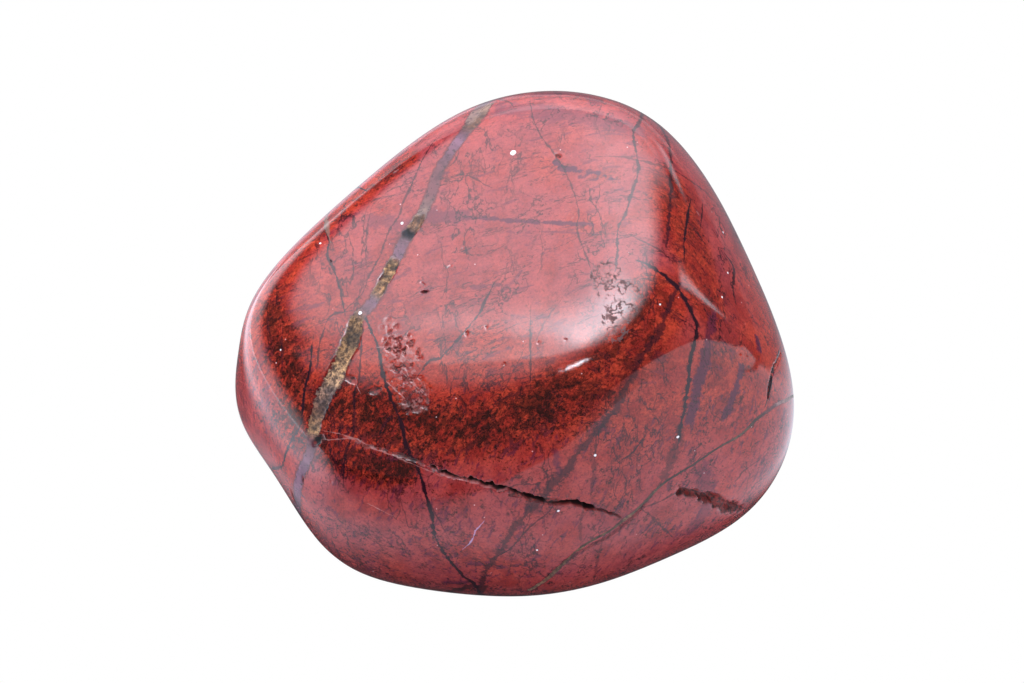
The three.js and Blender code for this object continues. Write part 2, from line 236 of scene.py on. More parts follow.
# Dark lines: healed cracks, filled with iron oxide.
DARK_LINES = [
    # The long line down the front
    Line([(-8.0, 1.4), (-7.6, 0.6), (-7.3, 0.0), (-7.1, -1.1), (-6.8, -2.3), (-6.4, -3.4), (-6.0, -4.3),
         (-5.8, -5.3), (-5.6, -5.9), (-5.1, -6.9), (-4.7, -8.0), (-4.3, -9.6), (-4.2, -10.4),
         (-3.6, -11.5), (-2.7, -12.6), (-1.9, -13.3), Behind(-12, -62), Behind(-36, -79)], 0.075, 1),
    Line([(-4.7, -8.0), (-4.2, -9.2), (-3.9, -9.7), (-3.6, -10.3)], 0.03, 0.7),
    Line([(-6.3, -3.9), (-6.7, -4.2), (-7.1, -4.9)], 0.045, 0.8),
    # Beside the brown vein
    Line([(-8.1, 0.1), (-8.2, -1.1), (-8.3, -2.2), (-8.5, -2.7), (-8.5, -3.8), (-8.6, -5.0),
         (-9.0, -6.1), (-9.1, -7.4)], 0.045, 0.8),
    Line([(-9.8, -5.3), (-9.8, -6.1), (-9.5, -6.5)], 0.04, 0.7),
    Line([(-9.1, 1.6), (-9.8, 1.4), (-10.3, 0.2), (-10.5, -1.0)], 0.045, 0.8),
    Line([(-10.8, -0.2), (-10.9, -1.4), (-11.2, -2.6), (-11.3, -3.4), (-11.4, -4.5), (-11.9, -5.3),
         (-12.3, -6.4), (-12.5, -6.8), (-13.1, -6.8)], 0.055, 1),
    Line([(-13.2, 0.9), (-13.1, 0.4)], 0.05, 0.7),
    Line([(-12.4, 0.4), (-12.4, -1.3)], 0.05, 0.7),
    Line([Behind(-156, -26), Behind(-152, -9), Behind(-144, 7), Behind(-130, 18), Behind(-115, 28),
         Behind(-98, 35), (-10.0, 6.8), (-9.9, 5.5), (-10.0, 4.7), (-9.7, 4.1), (-9.3, 2.9),
         (-9.1, 1.9)], 0.06, 0.9),
    Line([(-4.3, 10.7), (-4.9, 9.7), (-5.4, 8.5), (-5.9, 7.5), (-6.1, 6.8), (-6.7, 5.9), (-7.1, 4.7),
         (-7.7, 3.6), (-8.1, 2.6), (-8.9, 1.8)], 0.04, 0.75),
    Line([(-2.9, 10.2), (-3.1, 9.7), (-3.5, 9.4)], 0.04, 0.7),
    Line([(-3.3, 8.9), (-2.5, 9.0), (-1.5, 8.5)], 0.035, 0.7),
    Line([(-7.7, 6.8), (-7.8, 6.3), (-7.9, 5.2), (-7.9, 4.5)], 0.035, 0.6),
    # The middle of the top
    Line([(-1.2, 2.7), (-1.5, 2.1), (-1.8, 1.5), (-2.6, 0.5), (-3.4, -0.4), (-3.9, -0.9), (-4.4, -1.0),
         (-4.9, -1.6)], 0.05, 0.9),
    Line([(1.0, 1.4), (1.0, -0.2), (1.0, -2.0)], 0.045, 0.8),
    Line([(0.6, -0.5), (0.2, -1.4), (-0.5, -2.7)], 0.03, 0.6),
    Line([(2.6, 2.2), (1.8, 1.1), (1.2, -0.2)], 0.03, 0.6),
    Line([(1.0, 12.8), (1.1, 12.2), (1.5, 11.2), (2.3, 10.1), (2.9, 9.1), (3.3, 8.1), (3.6, 7.0),
         (3.5, 6.0), (3.9, 4.9), (4.3, 3.7), (4.6, 2.8)], 0.03, 0.7),
    Line([(7.0, 12.5), (6.9, 11.9), (6.6, 11.5), (6.6, 10.8), (6.8, 9.8), (6.8, 8.9), (6.5, 8.2),
         (6.2, 7.1), (5.7, 6.0), (5.7, 4.9), (5.6, 4.1)], 0.06, 0.85),
    # The right shoulder
    Line([(5.0, 10.0), (6.9, 9.8), (8.0, 9.5), (8.8, 9.2), (9.6, 8.7), (10.3, 8.2), (11.0, 7.5),
         (11.6, 6.7)], 0.05, 0.6),
    Line([(9.6, 7.4), (9.5, 6.8), (9.4, 6.1), (9.3, 5.5), (9.3, 4.7)], 0.06, 1),
    Line([(10.3, 7.4), (10.2, 6.3)], 0.05, 0.8),
    Line([(9.8, 6.1), (10.2, 5.6)], 0.05, 0.8),
    Line([(6.9, 5.5), (8.0, 4.9), (8.5, 4.5)], 0.05, 0.7),
    Line([(11.8, 4.3), (12.0, 3.9), (11.9, 3.1), (12.0, 2.5)], 0.1, 0.9),
    # The forked line down the right
    Line([(8.1, -7.5), (8.4, -6.9), (8.7, -6.1), (9.0, -5.3), (9.1, -4.5)], 0.22, 0.6),
    Line([(9.0, -5.3), (9.1, -4.5), (9.3, -3.7), (9.4, -2.9), (9.6, -1.3), (9.8, -0.2), (10.0, 0.7),
         (9.7, 1.6), (9.3, 2.4), (9.0, 2.8), (8.4, 3.4), (7.6, 4.0), (7.2, 4.2)], 0.1, 1),
    Line([(8.9, 2.8), (8.4, 1.8), (8.0, 0.6), (7.7, 0.1), (7.0, -0.8), (6.5, -1.8), (5.8, -3.2),
         (5.5, -3.8), (4.6, -4.8), (4.2, -5.3), (3.7, -5.8), (3.1, -6.8), (2.6, -7.4), (2.1, -7.7),
         (1.8, -8.3), (1.0, -9.1), (0.0, -10.2), (-0.6, -11.3), (-1.0, -11.8), (-1.4, -12.4),
         (-1.7, -13.4), Behind(-12, -43), Behind(-27, -53), Behind(-59, -65)], 0.14, 0.75),
    Line([(14.4, -0.6), (14.1, -1.5), (14.0, -2.1), (13.8, -3.1)], 0.08, 1),
    Line([(7.3, -8.9), (8.1, -8.6), (9.1, -8.0)], 0.04, 0.7),
    Line([(7.2, -9.2), (7.7, -9.6), (8.5, -10.4)], 0.06, 0.7),
    Line([(2.2, -8.9), (1.8, -9.4), (1.2, -9.8), (0.4, -10.6), (-0.1, -11.2), (-0.8, -11.6)], 0.035,
         0.8),
    Line([(4.5, -6.1), (4.4, -7.0), (4.3, -8.0)], 0.07, 0.5),
    Line([(3.8, -9.2), (3.7, -9.9), (3.7, -10.7)], 0.07, 0.5),
    Line([(4.8, -11.0), (4.6, -11.8), (4.4, -12.9)], 0.06, 0.5),
    Line([(6.1, -6.3), (6.5, -6.0), (6.9, -5.5)], 0.05, 0.9),
    Line([(13.2, -6.5), (12.6, -6.9), (12.0, -7.6)], 0.035, 0.6),
    # Behind
    Line(behind((-166, -44), (-162, -25), (-157, -8), (-149, 9), (-135, 22), (-119, 33), (-100, 46)),
         0.075, 1),
    Line(behind((134, 48), (150, 33), (160, 15), (166, -3), (172, -22), (179, -41)), 0.1, 0.9),
    Line(behind((55, 43), (81, 52), (114, 52), (141, 43), (159, 30), (171, 14), (-178, -3), (-168, -20),
         (-156, -37)), 0.11, 0.8),
]

# Fine hairlines that wander over the sides that aren't seen, at random but the same each time.
HAIRLINES = 46
HAIRLINE_STEP = 0.8
HAIRLINE_STEPS = (3, 9)
HAIRLINE_TURN = 14
HAIRLINE_HALF_WIDTH = (0.03, 0.08)
HAIRLINE_STRENGTH = (0.5, 1.0)

PINK = (0.34, 0.15, 0.14)
CHALK_AND_GLINT = (0.42, 0.20, 0.19)
LILAC = (0.42, 0.30, 0.50)
PALE_LINES = [
    # The healed end of the open crack
    Line([(-10.3, -5.2), (-9.8, -5.3), (-8.7, -5.2), (-8.2, -5.4), (-7.4, -5.8), (-6.3, -6.2),
         (-5.2, -6.7), (-4.2, -7.1)], 0.025, 0.6, PINK),
    Line([(-9.7, -4.9), (-9.2, -5.0), (-8.6, -5.2)], 0.02, 0.6, PINK),
    # Chalky arcs in the pitted patch and on a pit's rim: partly chalky wear, partly painted highlights on the
    # flakes' rims
    Line([(-6.8, -0.3), (-6.5, -0.3), (-6.2, -0.6)], 0.05, 0.5, CHALK_AND_GLINT),
    Line([(-6.3, -0.8), (-6.0, -1.0), (-5.8, -1.4)], 0.05, 0.5, CHALK_AND_GLINT),
    Line([(-6.4, -2.5), (-6.2, -2.7)], 0.05, 0.6, CHALK_AND_GLINT),
    Line([(-5.5, -2.1), (-5.2, -2.4)], 0.05, 0.5, CHALK_AND_GLINT),
    Line([(-9.0, -2.0), (-8.6, -1.95), (-8.4, -2.3)], 0.03, 0.8, CHALK_AND_GLINT),
    Line([(-10.0, 6.8), (-10.0, 6.2), (-9.9, 5.7)], 0.09, 0.7, BEIGE),
    # Lint and dust
    Line([(-1.8, -10.0), (-2.0, -10.2), (-2.1, -10.6), (-2.3, -10.9), (-2.4, -11.0)], 0.03, 0.7, LILAC),
    Line([(-7.3, -9.0), (-7.1, -9.1), (-6.9, -9.2)], 0.025, 0.6, CHALK_AND_GLINT),
]

# Broad soft bands and blotches of purple.
PURPLE_BANDS = [
    Line([(10.6, -0.2), (10.2, -1.8), (9.8, -3.4), (9.6, -4.2)], 0.55, 1),
    Line([(12.4, -1.3), (12.0, -2.7), (11.5, -4.1)], 0.36, 1),
    Line([(13.2, 0.2), (13.4, -0.5)], 0.3, 1),
    Line([(10.9, 1.4), (10.6, 0.1)], 0.45, 0.8),
    Line([(10.3, -7.0), (10.6, -8.6), (9.6, -10.2)], 0.7, 0.6),
    Line([(2.35, 9.65), (2.9, 9.25), (3.35, 9.35)], 0.24, 1),
    Line([(3.2, 9.25), (4.2, 9.15), (4.8, 9.1)], 0.17, 1),
    Line([(4.5, 9.15), (5.2, 8.85), (5.9, 8.6)], 0.15, 1),
    Line([(3.5, 8.85), (4.5, 8.7)], 0.1, 0.8),
    Line([(-0.6, 12.6), (1.8, 12.4), (4.2, 12.0), (6.9, 11.3)], 0.8, 0.5),
    Line([(-7.6, 6.6), (-6.5, 6.4), (-5.9, 6.3)], 0.55, 0.5),
    Line([(-4.6, 6.8), (-3.6, 6.75), (-2.6, 6.85)], 0.6, 0.6),
    Line([(-3.0, 6.8), (-1.2, 6.65), (0.6, 6.5), (2.6, 6.4), (4.4, 6.3)], 0.18, 0.9),
    Line([(-2.2, 2.9), (-1.3, 3.0), (-0.5, 3.1)], 0.14, 0.6),
    Line([(-0.6, 2.7), (0.0, 3.2), (0.5, 3.8)], 0.14, 0.6),
    Line([(0.0, 1.4), (2.1, 1.3)], 0.12, 0.5),
    Line([(-0.6, 5.9), (2.1, 5.9), (4.8, 5.8)], 0.1, 0.5),
    Line([(-3.6, -13.0), (-2.5, -13.0)], 0.3, 0.8),
    Line([(-2.3, -12.0), (-1.7, -12.0)], 0.25, 0.8),
    Line([(-0.8, -12.2), (-0.4, -12.2)], 0.25, 0.8),
    Line([(2.3, -6.0), (2.6, -7.2)], 0.25, 0.7),
    Line([(-6.7, -6.3), (-6.3, -6.3)], 0.2, 0.7),
    Line(behind((-110, 10), (-124, 16), (-140, 15)), 0.8, 0.6),
    Line(behind((140, 25), (152, 18), (170, 20)), 0.6, 0.7),
    Line(behind((100, 5), (108, -8), (104, -20)), 0.5, 0.7),
    Line(behind((-165, 35), (-150, 28), (-138, 36)), 0.4, 0.6),
    Line(behind((165, 70), (140, 66), (120, 68)), 0.6, 0.5),
]

# Blackish zones, where the specks run together.
DARK_BANDS = [
    Line([(-11.6, -4.4), (-9.3, -3.4), (-6.2, -4.4), (-3.3, -4.7), (-0.6, -4.2), (1.5, -3.3),
         (3.7, -2.3), (5.3, -1.0), (6.9, 0.6), (8.0, 2.2)], 1.7, 1),
    Line([(-13.0, 1.6), (-12.4, 0.0), (-11.8, -2.4)], 1.0, 1),
    Line([(8.7, 8.0), (9.7, 5.0), (10.4, 2.6)], 1.8, 0.8),
    Line([(2.6, -2.6), (3.8, -2.1), (5.0, -1.2), (6.4, 0.5), (7.4, 2.0)], 0.9, 1.8),
    Line([(-10.2, -5.6), (-9.0, -6.3), (-7.4, -6.9), (-5.8, -6.8)], 1.0, 0.9),
    Line([(-12.6, 2.8), (-11.3, 4.9), (-9.9, 6.4), (-8.7, 7.4), (-7.3, 8.6), (-5.6, 9.9)], 0.7, 0.8),
    Line(behind((150, -10), (165, -22), (-178, -30)), 1.6, 0.9),
    Line(behind((-130, -8), (-118, 2)), 1.2, 0.9),
    Line(behind((105, 25), (118, 12), (128, -2)), 1.4, 0.9),
]

GROOVES = [
    # The open crack, fine at first and then wide
    Groove([(-8.5, -5.3), (-6.6, -6.0), (-4.8, -6.6), (-3.6, -7.1)], 0.12, 0.03, 0.09, 1.2),
    Groove([(-4.4, -6.75), (-3.1, -7.3), (-1.5, -7.7), (0, -8.1), (1.3, -8.5), (2.2, -8.8), (3.4, -8.7),
           (4.6, -9.1), (5.9, -9.5)], 0.27, 0.05, 0.4, 1.1),
    # A short crack in the right edge
    Groove([(14.5, -0.6), (14.1, -1.5), (13.9, -2.4), (13.8, -3.1)], 0.2, 0.05, 0.2),
    # A crack behind
    Groove(behind((128, 22), (138, 16), (147, 14), (157, 8)), 0.28, 0.06, 0.3, 0.5),
    # The olive seam
    Groove([(1.2, -13.3), (2.9, -11.9), (4.2, -11.1), (5.4, -10.4), (6.4, -9.6), (7.3, -8.7)], 0.24, 0.1,
           0.1),
]
# The brown vein's soft stretches, worn below the polish.
HOLLOWS = [
    Groove([(-4.9, 6.8), (-5.2, 6.3), (-5.6, 5.7)], 0.55, 0.35, 0.1, 0.4),
    Groove([(-6.35, 4.4), (-6.5, 4.0), (-6.9, 3.3), (-7.25, 2.6)], 0.6, 0.4, 0.1, 0.4),
    Groove([(-8.4, 1.2), (-8.6, 0.3), (-9.1, -0.8), (-9.6, -1.9), (-10.1, -2.8), (-10.5, -3.8),
           (-10.7, -4.9)], 0.95, 0.55, 0.12, 0.3),
    Groove(behind((180, 43), (179, 25), (-176, 7), (-171, -10)), 0.9, 0.65, 0.15, 0.2),
]
HOLLOW_GRAIN = 0.05  # height of the crumbly grains on a hollow's floor
HOLLOW_GRAIN_SIZE = 0.16
PIT_GRAIN = 0.2  # how broken the floor of a deep pit is
PIT_GRAIN_SIZE = 0.3
END_SHARE = 0.3  # how much of a groove or a line is left at its ends
END_BLUNTNESS = 0.25

PITS = [
    Pit((-5.0, 2.65), (-4.3, 2.75), 0.2, 0.15),
    Pit((-10.75, -5.6), (-10.25, -5.15), 0.4, 0.25),
    Pit((-11.3, -7.1), (-11.3, -7.8), 0.18, 0.15),
    Pit((-12.0, -7.8), (-11.6, -9.0), 0.24, 0.18),
    Pit((-11.0, -9.6), (-10.7, -10.3), 0.2, 0.18),
    Pit((-9.0, -2.0), (-8.4, -2.2), 0.35, 0.14),
    Pit((-7.7, -2.7), (-7.0, -2.6), 0.3, 0.12),
    Pit((2.3, 10.2), (2.7, 9.9), 0.25, 0.12),
    Pit(Behind(-84, -27), Behind(-77, -31), 0.35, 0.2),
    Pit(Behind(-95, -9), Behind(-92, -10), 0.4, 0.25),
    Pit(Behind(160, -14), Behind(165, -17), 0.7, 0.25),
    Pit(Behind(-128, 8), Behind(-132, 11), 0.5, 0.2),
    # Broken lips of the crack
    Pit((1.3, -8.45), (3.3, -8.75), 0.4, 0.14),
    Pit((-0.2, -8.2), (0.8, -8.35), 0.25, 0.1),
    # The chip in the lower right edge
    Pit((8.9, -8.0), (10.3, -8.3), 0.6, 0.45),
    Pit((9.9, -8.2), (11.3, -8.7), 0.75, 0.6),
    Pit((10.9, -8.7), (12.3, -9.1), 0.8, 0.5),
]
PIT_RAGGEDNESS = 0.5
RAG_SIZE = 0.25
GROOVE_WANDER = 0.12  # how far a groove as ragged as 1 strays from its line
PATCH_WANDER = 0.3  # how far a patch's edge strays, as a share of its reach
FLAKES = 2.2  # how many of them there are from the highest to the middle of the bumps
PATCHES = [
    Patch([(-6.6, 0.8), (-6.1, -0.8)], 0.6, 0.35, 0.07, 0.1, 0.9),
    Patch([(-6.2, -0.2), (-5.8, -1.6), (-5.3, -3.0)], 1.1, 0.42, 0.12, 0.15, 0.9),
    Patch([(5.0, 3.7), (5.6, 2.9), (6.3, 2.3), (5.7, 1.5), (5.6, 0.8)], 1.0, 0.5, 0, 0, 0, True),
    Patch(behind((-145, 48), (-152, 42)), 0.9, 0.42, 0.14, 0.2, 0.8),
    Patch(behind((118, -6), (124, -12)), 0.8, 0.5, 0, 0, 0, True),
]
# Tiny pits all over, at random but the same each time.
TINY_PITS = 100
TINY_PIT_LENGTH = (0.06, 0.22)
TINY_PIT_SLIMNESS = (0.4, 0.9)
TINY_PIT_DEPTH = (0.015, 0.045)
SEED = 7

# Dust that lies on the stone, and black grains, with their radius.
DUST = [
    ((0.05, 10.2), 0.2), ((-5.94, 6.4), 0.1), ((-8.2, 1.55), 0.12), ((-12.5, -0.45), 0.07),
    ((2.5, -9.15), 0.09), ((1.35, -11.25), 0.07), ((4.5, -6.15), 0.09), ((8.95, -5.15), 0.1),
    ((8.0, 2.0), 0.07), ((11.35, 2.4), 0.08), ((11.65, 3.7), 0.08), ((11.4, 5.9), 0.08),
    ((-10.35, 5.3), 0.08), (Behind(-120, 20), 0.12), (Behind(170, 50), 0.1), (Behind(130, 10), 0.08),
]
BLACK_GRAINS = [((-6.3, 4.0), 0.14), ((-10.0, -3.6), 0.14), ((-10.5, -5.4), 0.24), (Behind(180, 20), 0.16)]

# Faint waviness of the polish, as sizes and heights.
WAVE_HEIGHTS = [(4.5, 0.02), (2.0, 0.004)]

# The mesh: a sphere's triangles, split where the detail needs it.
SPHERE_DETAIL = 7
EDGE_ALLOWANCE = 1.4  # how much longer than asked an edge may be
EDGE_GROWTH = 0.5  # how much longer it may be for each millimetre away from the detail
SPLIT_PASSES = 3
ROUTE_STEP = 0.25
LINE_CLEARANCE = 1.3  # between lines that share a layer
FAR = 9.0  # stands for anywhere out of reach of a line


def direction(azimuth, elevation):
    """The unit vector toward an azimuth and an elevation in degrees."""
    turn, rise = math.radians(azimuth), math.radians(elevation)
    return np.array([math.sin(turn) * math.cos(rise), -math.cos(turn) * math.cos(rise), math.sin(rise)])


FACE_SHARES = np.array([direction(azimuth, elevation) / distance for azimuth, elevation, distance in FACES])
RIGHT = np.array([1.0, 0, 0])
BACK = direction(0, VIEW_ELEVATION)
UPWARD = np.cross(BACK, RIGHT)
EYE = VIEW_TARGET + VIEW_DISTANCE * BACK


def unit(vectors):
    return vectors / np.linalg.norm(vectors, axis=-1, keepdims=True)


def smooth_step(values, low, high):
    share = np.clip((values - low) / (high - low), 0, 1)
    return share * share * (3 - 2 * share)


def reach(toward):
    """How far the skin is from the middle along unit vectors."""
    length = (np.clip(toward @ FACE_SHARES.T, 0, None) ** CRISPNESS).sum(axis=1) ** (-1 / CRISPNESS)
    for azimuth, elevation, spread, height_of in SWELLINGS:
        angle = np.degrees(np.arccos(np.clip(toward @ direction(azimuth, elevation), -1, 1)))
        length += height_of * np.exp(-((angle / spread) ** 2))
    to_table = MIDDLE[2] / np.clip(-toward[:, 2], 1e-6, None)
    rounding = np.clip(TABLE_ROUNDING - np.abs(length - to_table), 0, None) ** 2 / (4 * TABLE_ROUNDING)
    return np.minimum(length, to_table) - rounding


def on_skin(points):
    """The points of the skin on the lines from the middle through these points."""
    toward = unit(points - MIDDLE)
    return MIDDLE + toward * reach(toward)[:, None]


def height(points):
    """How far the points are outside the skin; inside it is negative."""
    return np.linalg.norm(points - MIDDLE, axis=1) - reach(unit(points - MIDDLE))


def skin_normals(points):
    slopes = [height(points + SLOPE_STEP * axis) - height(points - SLOPE_STEP * axis) for axis in np.eye(3)]
    return unit(np.stack(slopes, axis=1))


def seen_points(places):
    """The points of the skin that are seen at places (right, up)."""
    sights = unit(VIEW_TARGET + places[:, :1] * RIGHT + places[:, 1:] * UPWARD - EYE)
    distances = np.full(len(places), float(VIEW_DISTANCE - STONE_REACH))
    for _ in range(SIGHT_STEPS):
        distances += SAFE_SHARE * height(EYE + distances[:, None] * sights)
    return on_skin(EYE + distances[:, None] * sights)


def points_at(places):
    """The points of the skin at places seen from the front or given behind."""
    hidden = np.array([isinstance(place, Behind) for place in places])[:, None]
    toward = np.array([direction(*(place if isinstance(place, Behind) else (0, 0))) for place in places])
    seen = np.array([(0, 0) if isinstance(place, Behind) else place for place in places], float)
    return np.where(hidden, on_skin(MIDDLE + toward), seen_points(seen))


def rough(points, size, shift=0.0):
    """Smooth noise between about -1 and 1, with bumps of about this size."""
    return np.array([noise.noise(Vector(point)) for point in (points / size + shift).tolist()])


class Route:
    """A smooth way over the skin through some places, as short straight stretches."""

    def __init__(self, places):
        corners = points_at(places)
        ends = np.vstack([2 * corners[0] - corners[1], corners, 2 * corners[-1] - corners[-2]])
        points, steps = [corners[:1]], [[0.0]]
        for i, (before, start, finish, after) in enumerate(zip(ends, ends[1:], ends[2:], ends[3:])):
            count = max(1, round(np.linalg.norm(finish - start) / ROUTE_STEP))
            t = np.linspace(0, 1, count + 1)[1:]
            s = t[:, None]
            points.append(
                start
                + (finish - before) * s / 2
                + (2 * before - 5 * start + 4 * finish - after) * s**2 / 2
                + (3 * start - before - 3 * finish + after) * s**3 / 2
            )
            steps.append(i + t)
        self.points = on_skin(np.vstack(points))
        self.steps = np.concatenate(steps)  # counts the places passed
        lengths = np.linalg.norm(np.diff(self.points, axis=0), axis=1)
        self.along = np.concatenate([[0], np.cumsum(lengths)])
        self.normals = skin_normals(self.points)

    def near(self, points, margin):
        """Which points are within the margin of the route's box."""
        low, high = self.points.min(axis=0) - margin, self.points.max(axis=0) + margin
        return np.flatnonzero(((points > low) & (points < high)).all(axis=1))

    def measure(self, points):
        """For each point: its distance from the route, its offset across it, the step and the way along."""
        distance = np.full(len(points), np.inf)
        across, step, along = np.zeros(len(points)), np.zeros(len(points)), np.zeros(len(points))
        for i, (start, finish) in enumerate(zip(self.points, self.points[1:])):
            run = finish - start
            part = np.clip((points - start) @ run / (run @ run), 0, 1)
            offset = points - start - part[:, None] * run
            apart = np.linalg.norm(offset, axis=1)
            nearer = apart < distance
            side = unit(np.cross(self.normals[i], run))
            distance = np.where(nearer, apart, distance)
            across = np.where(nearer, offset @ side, across)
            step = np.where(nearer, self.steps[i] + part * (self.steps[i + 1] - self.steps[i]), step)
            along = np.where(nearer, self.along[i] + part * (self.along[i + 1] - self.along[i]), along)
        return distance, across, step, along


def end_fullness(share):
    """How full a groove is along its length: END_SHARE at both ends, and 1 halfway."""
    return END_SHARE + (1 - END_SHARE) * np.clip(4 * share * (1 - share), 0, 1) ** END_BLUNTNESS


def groove_depth(groove, points):
    """How deep a groove is at each point."""
    depth = np.zeros(len(points))
    route = Route(groove.places)
    near = route.near(points, groove.width)
    distance, across, _, along = route.measure(points[near])
    wander = GROOVE_WANDER * groove.raggedness * rough(points[near], RAG_SIZE * 2.5)
    distance = distance + np.abs(across + wander) - np.abs(across)
    ragged = rough(points[near], RAG_SIZE * 2) + 0.6 * rough(points[near], RAG_SIZE * 0.8)
    ragged = 1 + groove.raggedness * ragged
    fullness = end_fullness(along / route.along[-1]) * ragged
    from_mouth = fullness * groove.width / 2 - distance
    slope = np.clip(fullness * (groove.width - groove.floor) / 2, 1e-3, None)
    depth[near] = groove.depth * fullness * np.clip(from_mouth / slope, 0, 1)
    return depth


def pit_depth(pit, points):
    """How deep a pit is at each point."""
    start, finish = points_at([pit.start, pit.finish])
    middle = on_skin((start + finish)[None] / 2)
    outward = skin_normals(middle)[0]
    across = unit(np.cross(outward, finish - start))
    along = np.cross(across, outward)
    half_length, half_width = np.linalg.norm(finish - start) / 2, pit.width / 2
    depth = np.zeros(len(points))
    near = np.flatnonzero(np.linalg.norm(points - middle, axis=1) < 1.5 * max(half_length, half_width))
    offset = points[near] - middle
    share = np.hypot(offset @ along / half_length, offset @ across / half_width)
    share += PIT_RAGGEDNESS * (rough(points[near], 2 * RAG_SIZE) + rough(points[near], RAG_SIZE))
    depth[near] = pit.depth * np.clip(1 - share * share, 0, None)
    return depth


def patch_depth(patch, points):
    """How deep the flakes of a patch are at each point, and how near its middle line each point is."""
    depth, nearness = np.zeros(len(points)), np.zeros(len(points))
    route = Route(patch.places)
    near = route.near(points, patch.reach)
    distance, _, _, _ = route.measure(points[near])
    strayed = distance + PATCH_WANDER * patch.reach * rough(points[near], 1.0)
    inside = 1 - smooth_step(strayed, patch.reach / 2, patch.reach)
    bumps = rough(points[near], patch.size) + 0.5 * rough(points[near], patch.size / 2.3)
    # Flakes that overlap like shingles, each sloping down to the rim of the next.
    flakes = (FLAKES * (bumps + 0.3 * rough(points[near], patch.size / 4))) % 1
    worn_away = smooth_step(bumps, 0.3 - patch.share, 0.5 - patch.share)
    depth[near] = patch.depth * inside * flakes * worn_away
    nearness[near] = inside
    return depth, nearness


def icosphere():
    """The unit vectors and the triangles of a sphere of even triangles."""
    ball = bmesh.new()
    bmesh.ops.create_icosphere(ball, subdivisions=SPHERE_DETAIL, radius=1)
    toward = np.array([corner.co for corner in ball.verts])
    triangles = np.array([[corner.index for corner in face.verts] for face in ball.faces])
    ball.free()
    return unit(toward), triangles


def split_long_edges(toward, triangles, longest_edge):
    """Splits each edge that is too long for its place, and the triangles that share it."""
    sides = np.sort(np.stack([triangles, np.roll(triangles, -1, axis=1)], axis=2), axis=2)
    edges, side_edges = np.unique(sides.reshape(-1, 2), axis=0, return_inverse=True)
    side_edges = side_edges.reshape(-1, 3)
    middles = unit(toward[edges].mean(axis=1))
    skin = on_skin(MIDDLE + middles)
    spans = np.linalg.norm(toward[edges[:, 0]] - toward[edges[:, 1]], axis=1)
    long = spans * np.linalg.norm(skin - MIDDLE, axis=1) > longest_edge(skin)
    corners = np.full(len(edges), -1)
    corners[long] = len(toward) + np.arange(long.sum())
    toward = np.vstack([toward, middles[long]])
    # Turned so that the first side is split, and with two split sides the last one is whole.
    split = corners[side_edges]
    turns = np.zeros(len(triangles), int)
    is_split = split >= 0
    turns[~is_split[:, 0] & is_split[:, 1]] = 1
    turns[~is_split[:, 0] & ~is_split[:, 1]] = 2
    turns[is_split[:, 0] & ~is_split[:, 1] & is_split[:, 2]] = 2
    order = (np.arange(3)[None] + turns[:, None]) % 3
    a, b, c = np.take_along_axis(triangles, order, axis=1).T
    ab, bc, ca = np.take_along_axis(split, order, axis=1).T
    count = is_split.sum(axis=1)
    none, one, two, three = count == 0, count == 1, count == 2, count == 3

    def pick(mask, *corner_rows):
        return np.stack([row[mask] for row in corner_rows], axis=1)

    return toward, np.vstack([
        pick(none, a, b, c),
        pick(one, a, ab, c), pick(one, ab, b, c),
        pick(two, ab, b, bc), pick(two, a, ab, bc), pick(two, a, bc, c),
        pick(three, a, ab, ca), pick(three, ab, b, bc), pick(three, ca, bc, c), pick(three, ab, bc, ca),
    ])


def random_pits(rng):
    """Tiny pits all over the stone."""
    pits = []
    for _ in range(TINY_PITS):
        azimuth = rng.uniform(-180, 180)
        elevation = math.degrees(math.asin(rng.uniform(-0.95, 1)))
        start = MIDDLE + direction(azimuth, elevation)
        start = on_skin(start[None])[0]
        length = rng.uniform(*TINY_PIT_LENGTH)
        heading = unit(np.cross(start - MIDDLE, rng.normal(size=3)))
        width = length * rng.uniform(*TINY_PIT_SLIMNESS)
        pits.append((start, start + length * heading, width, rng.uniform(*TINY_PIT_DEPTH)))
    return pits


def tiny_pit_depth(pits, points):
    """How deep the tiny pits are at each point."""
    depth = np.zeros(len(points))
    for start, finish, width, deepest in pits:
        near = np.flatnonzero(np.linalg.norm(points - start, axis=1) < 0.7)
        run = finish - start
        part = np.clip((points[near] - start) @ run / (run @ run), 0, 1)
        apart = np.linalg.norm(points[near] - start - part[:, None] * run, axis=1)
        share = 2 * apart / width
        depth[near] = np.maximum(depth[near], deepest * np.clip(1 - share * share, 0, 1))
    return depth


def wandering_line(rng):
    """A short hairline on a side that isn't seen from the front."""
    while True:
        place = on_skin(MIDDLE[None] + unit(rng.normal(size=3))[None])[0]
        if skin_normals(place[None])[0] @ BACK < 0.1:
            break
    heading = unit(np.cross(place - MIDDLE, rng.normal(size=3)))
    places = [place]
    for _ in range(rng.integers(*HAIRLINE_STEPS)):
        outward = unit(places[-1] - MIDDLE)
        aside = np.cross(outward, heading)
        turn = math.radians(rng.normal(0, HAIRLINE_TURN))
        heading = unit(math.cos(turn) * heading + math.sin(turn) * aside)
        places.append(on_skin((places[-1] + HAIRLINE_STEP * heading)[None])[0])
    way = []
    for x, y, z in [unit(place - MIDDLE) for place in places]:
        way.append(Behind(math.degrees(math.atan2(x, -y)), math.degrees(math.asin(z))))
    return Line(way, rng.uniform(*HAIRLINE_HALF_WIDTH), rng.uniform(*HAIRLINE_STRENGTH))


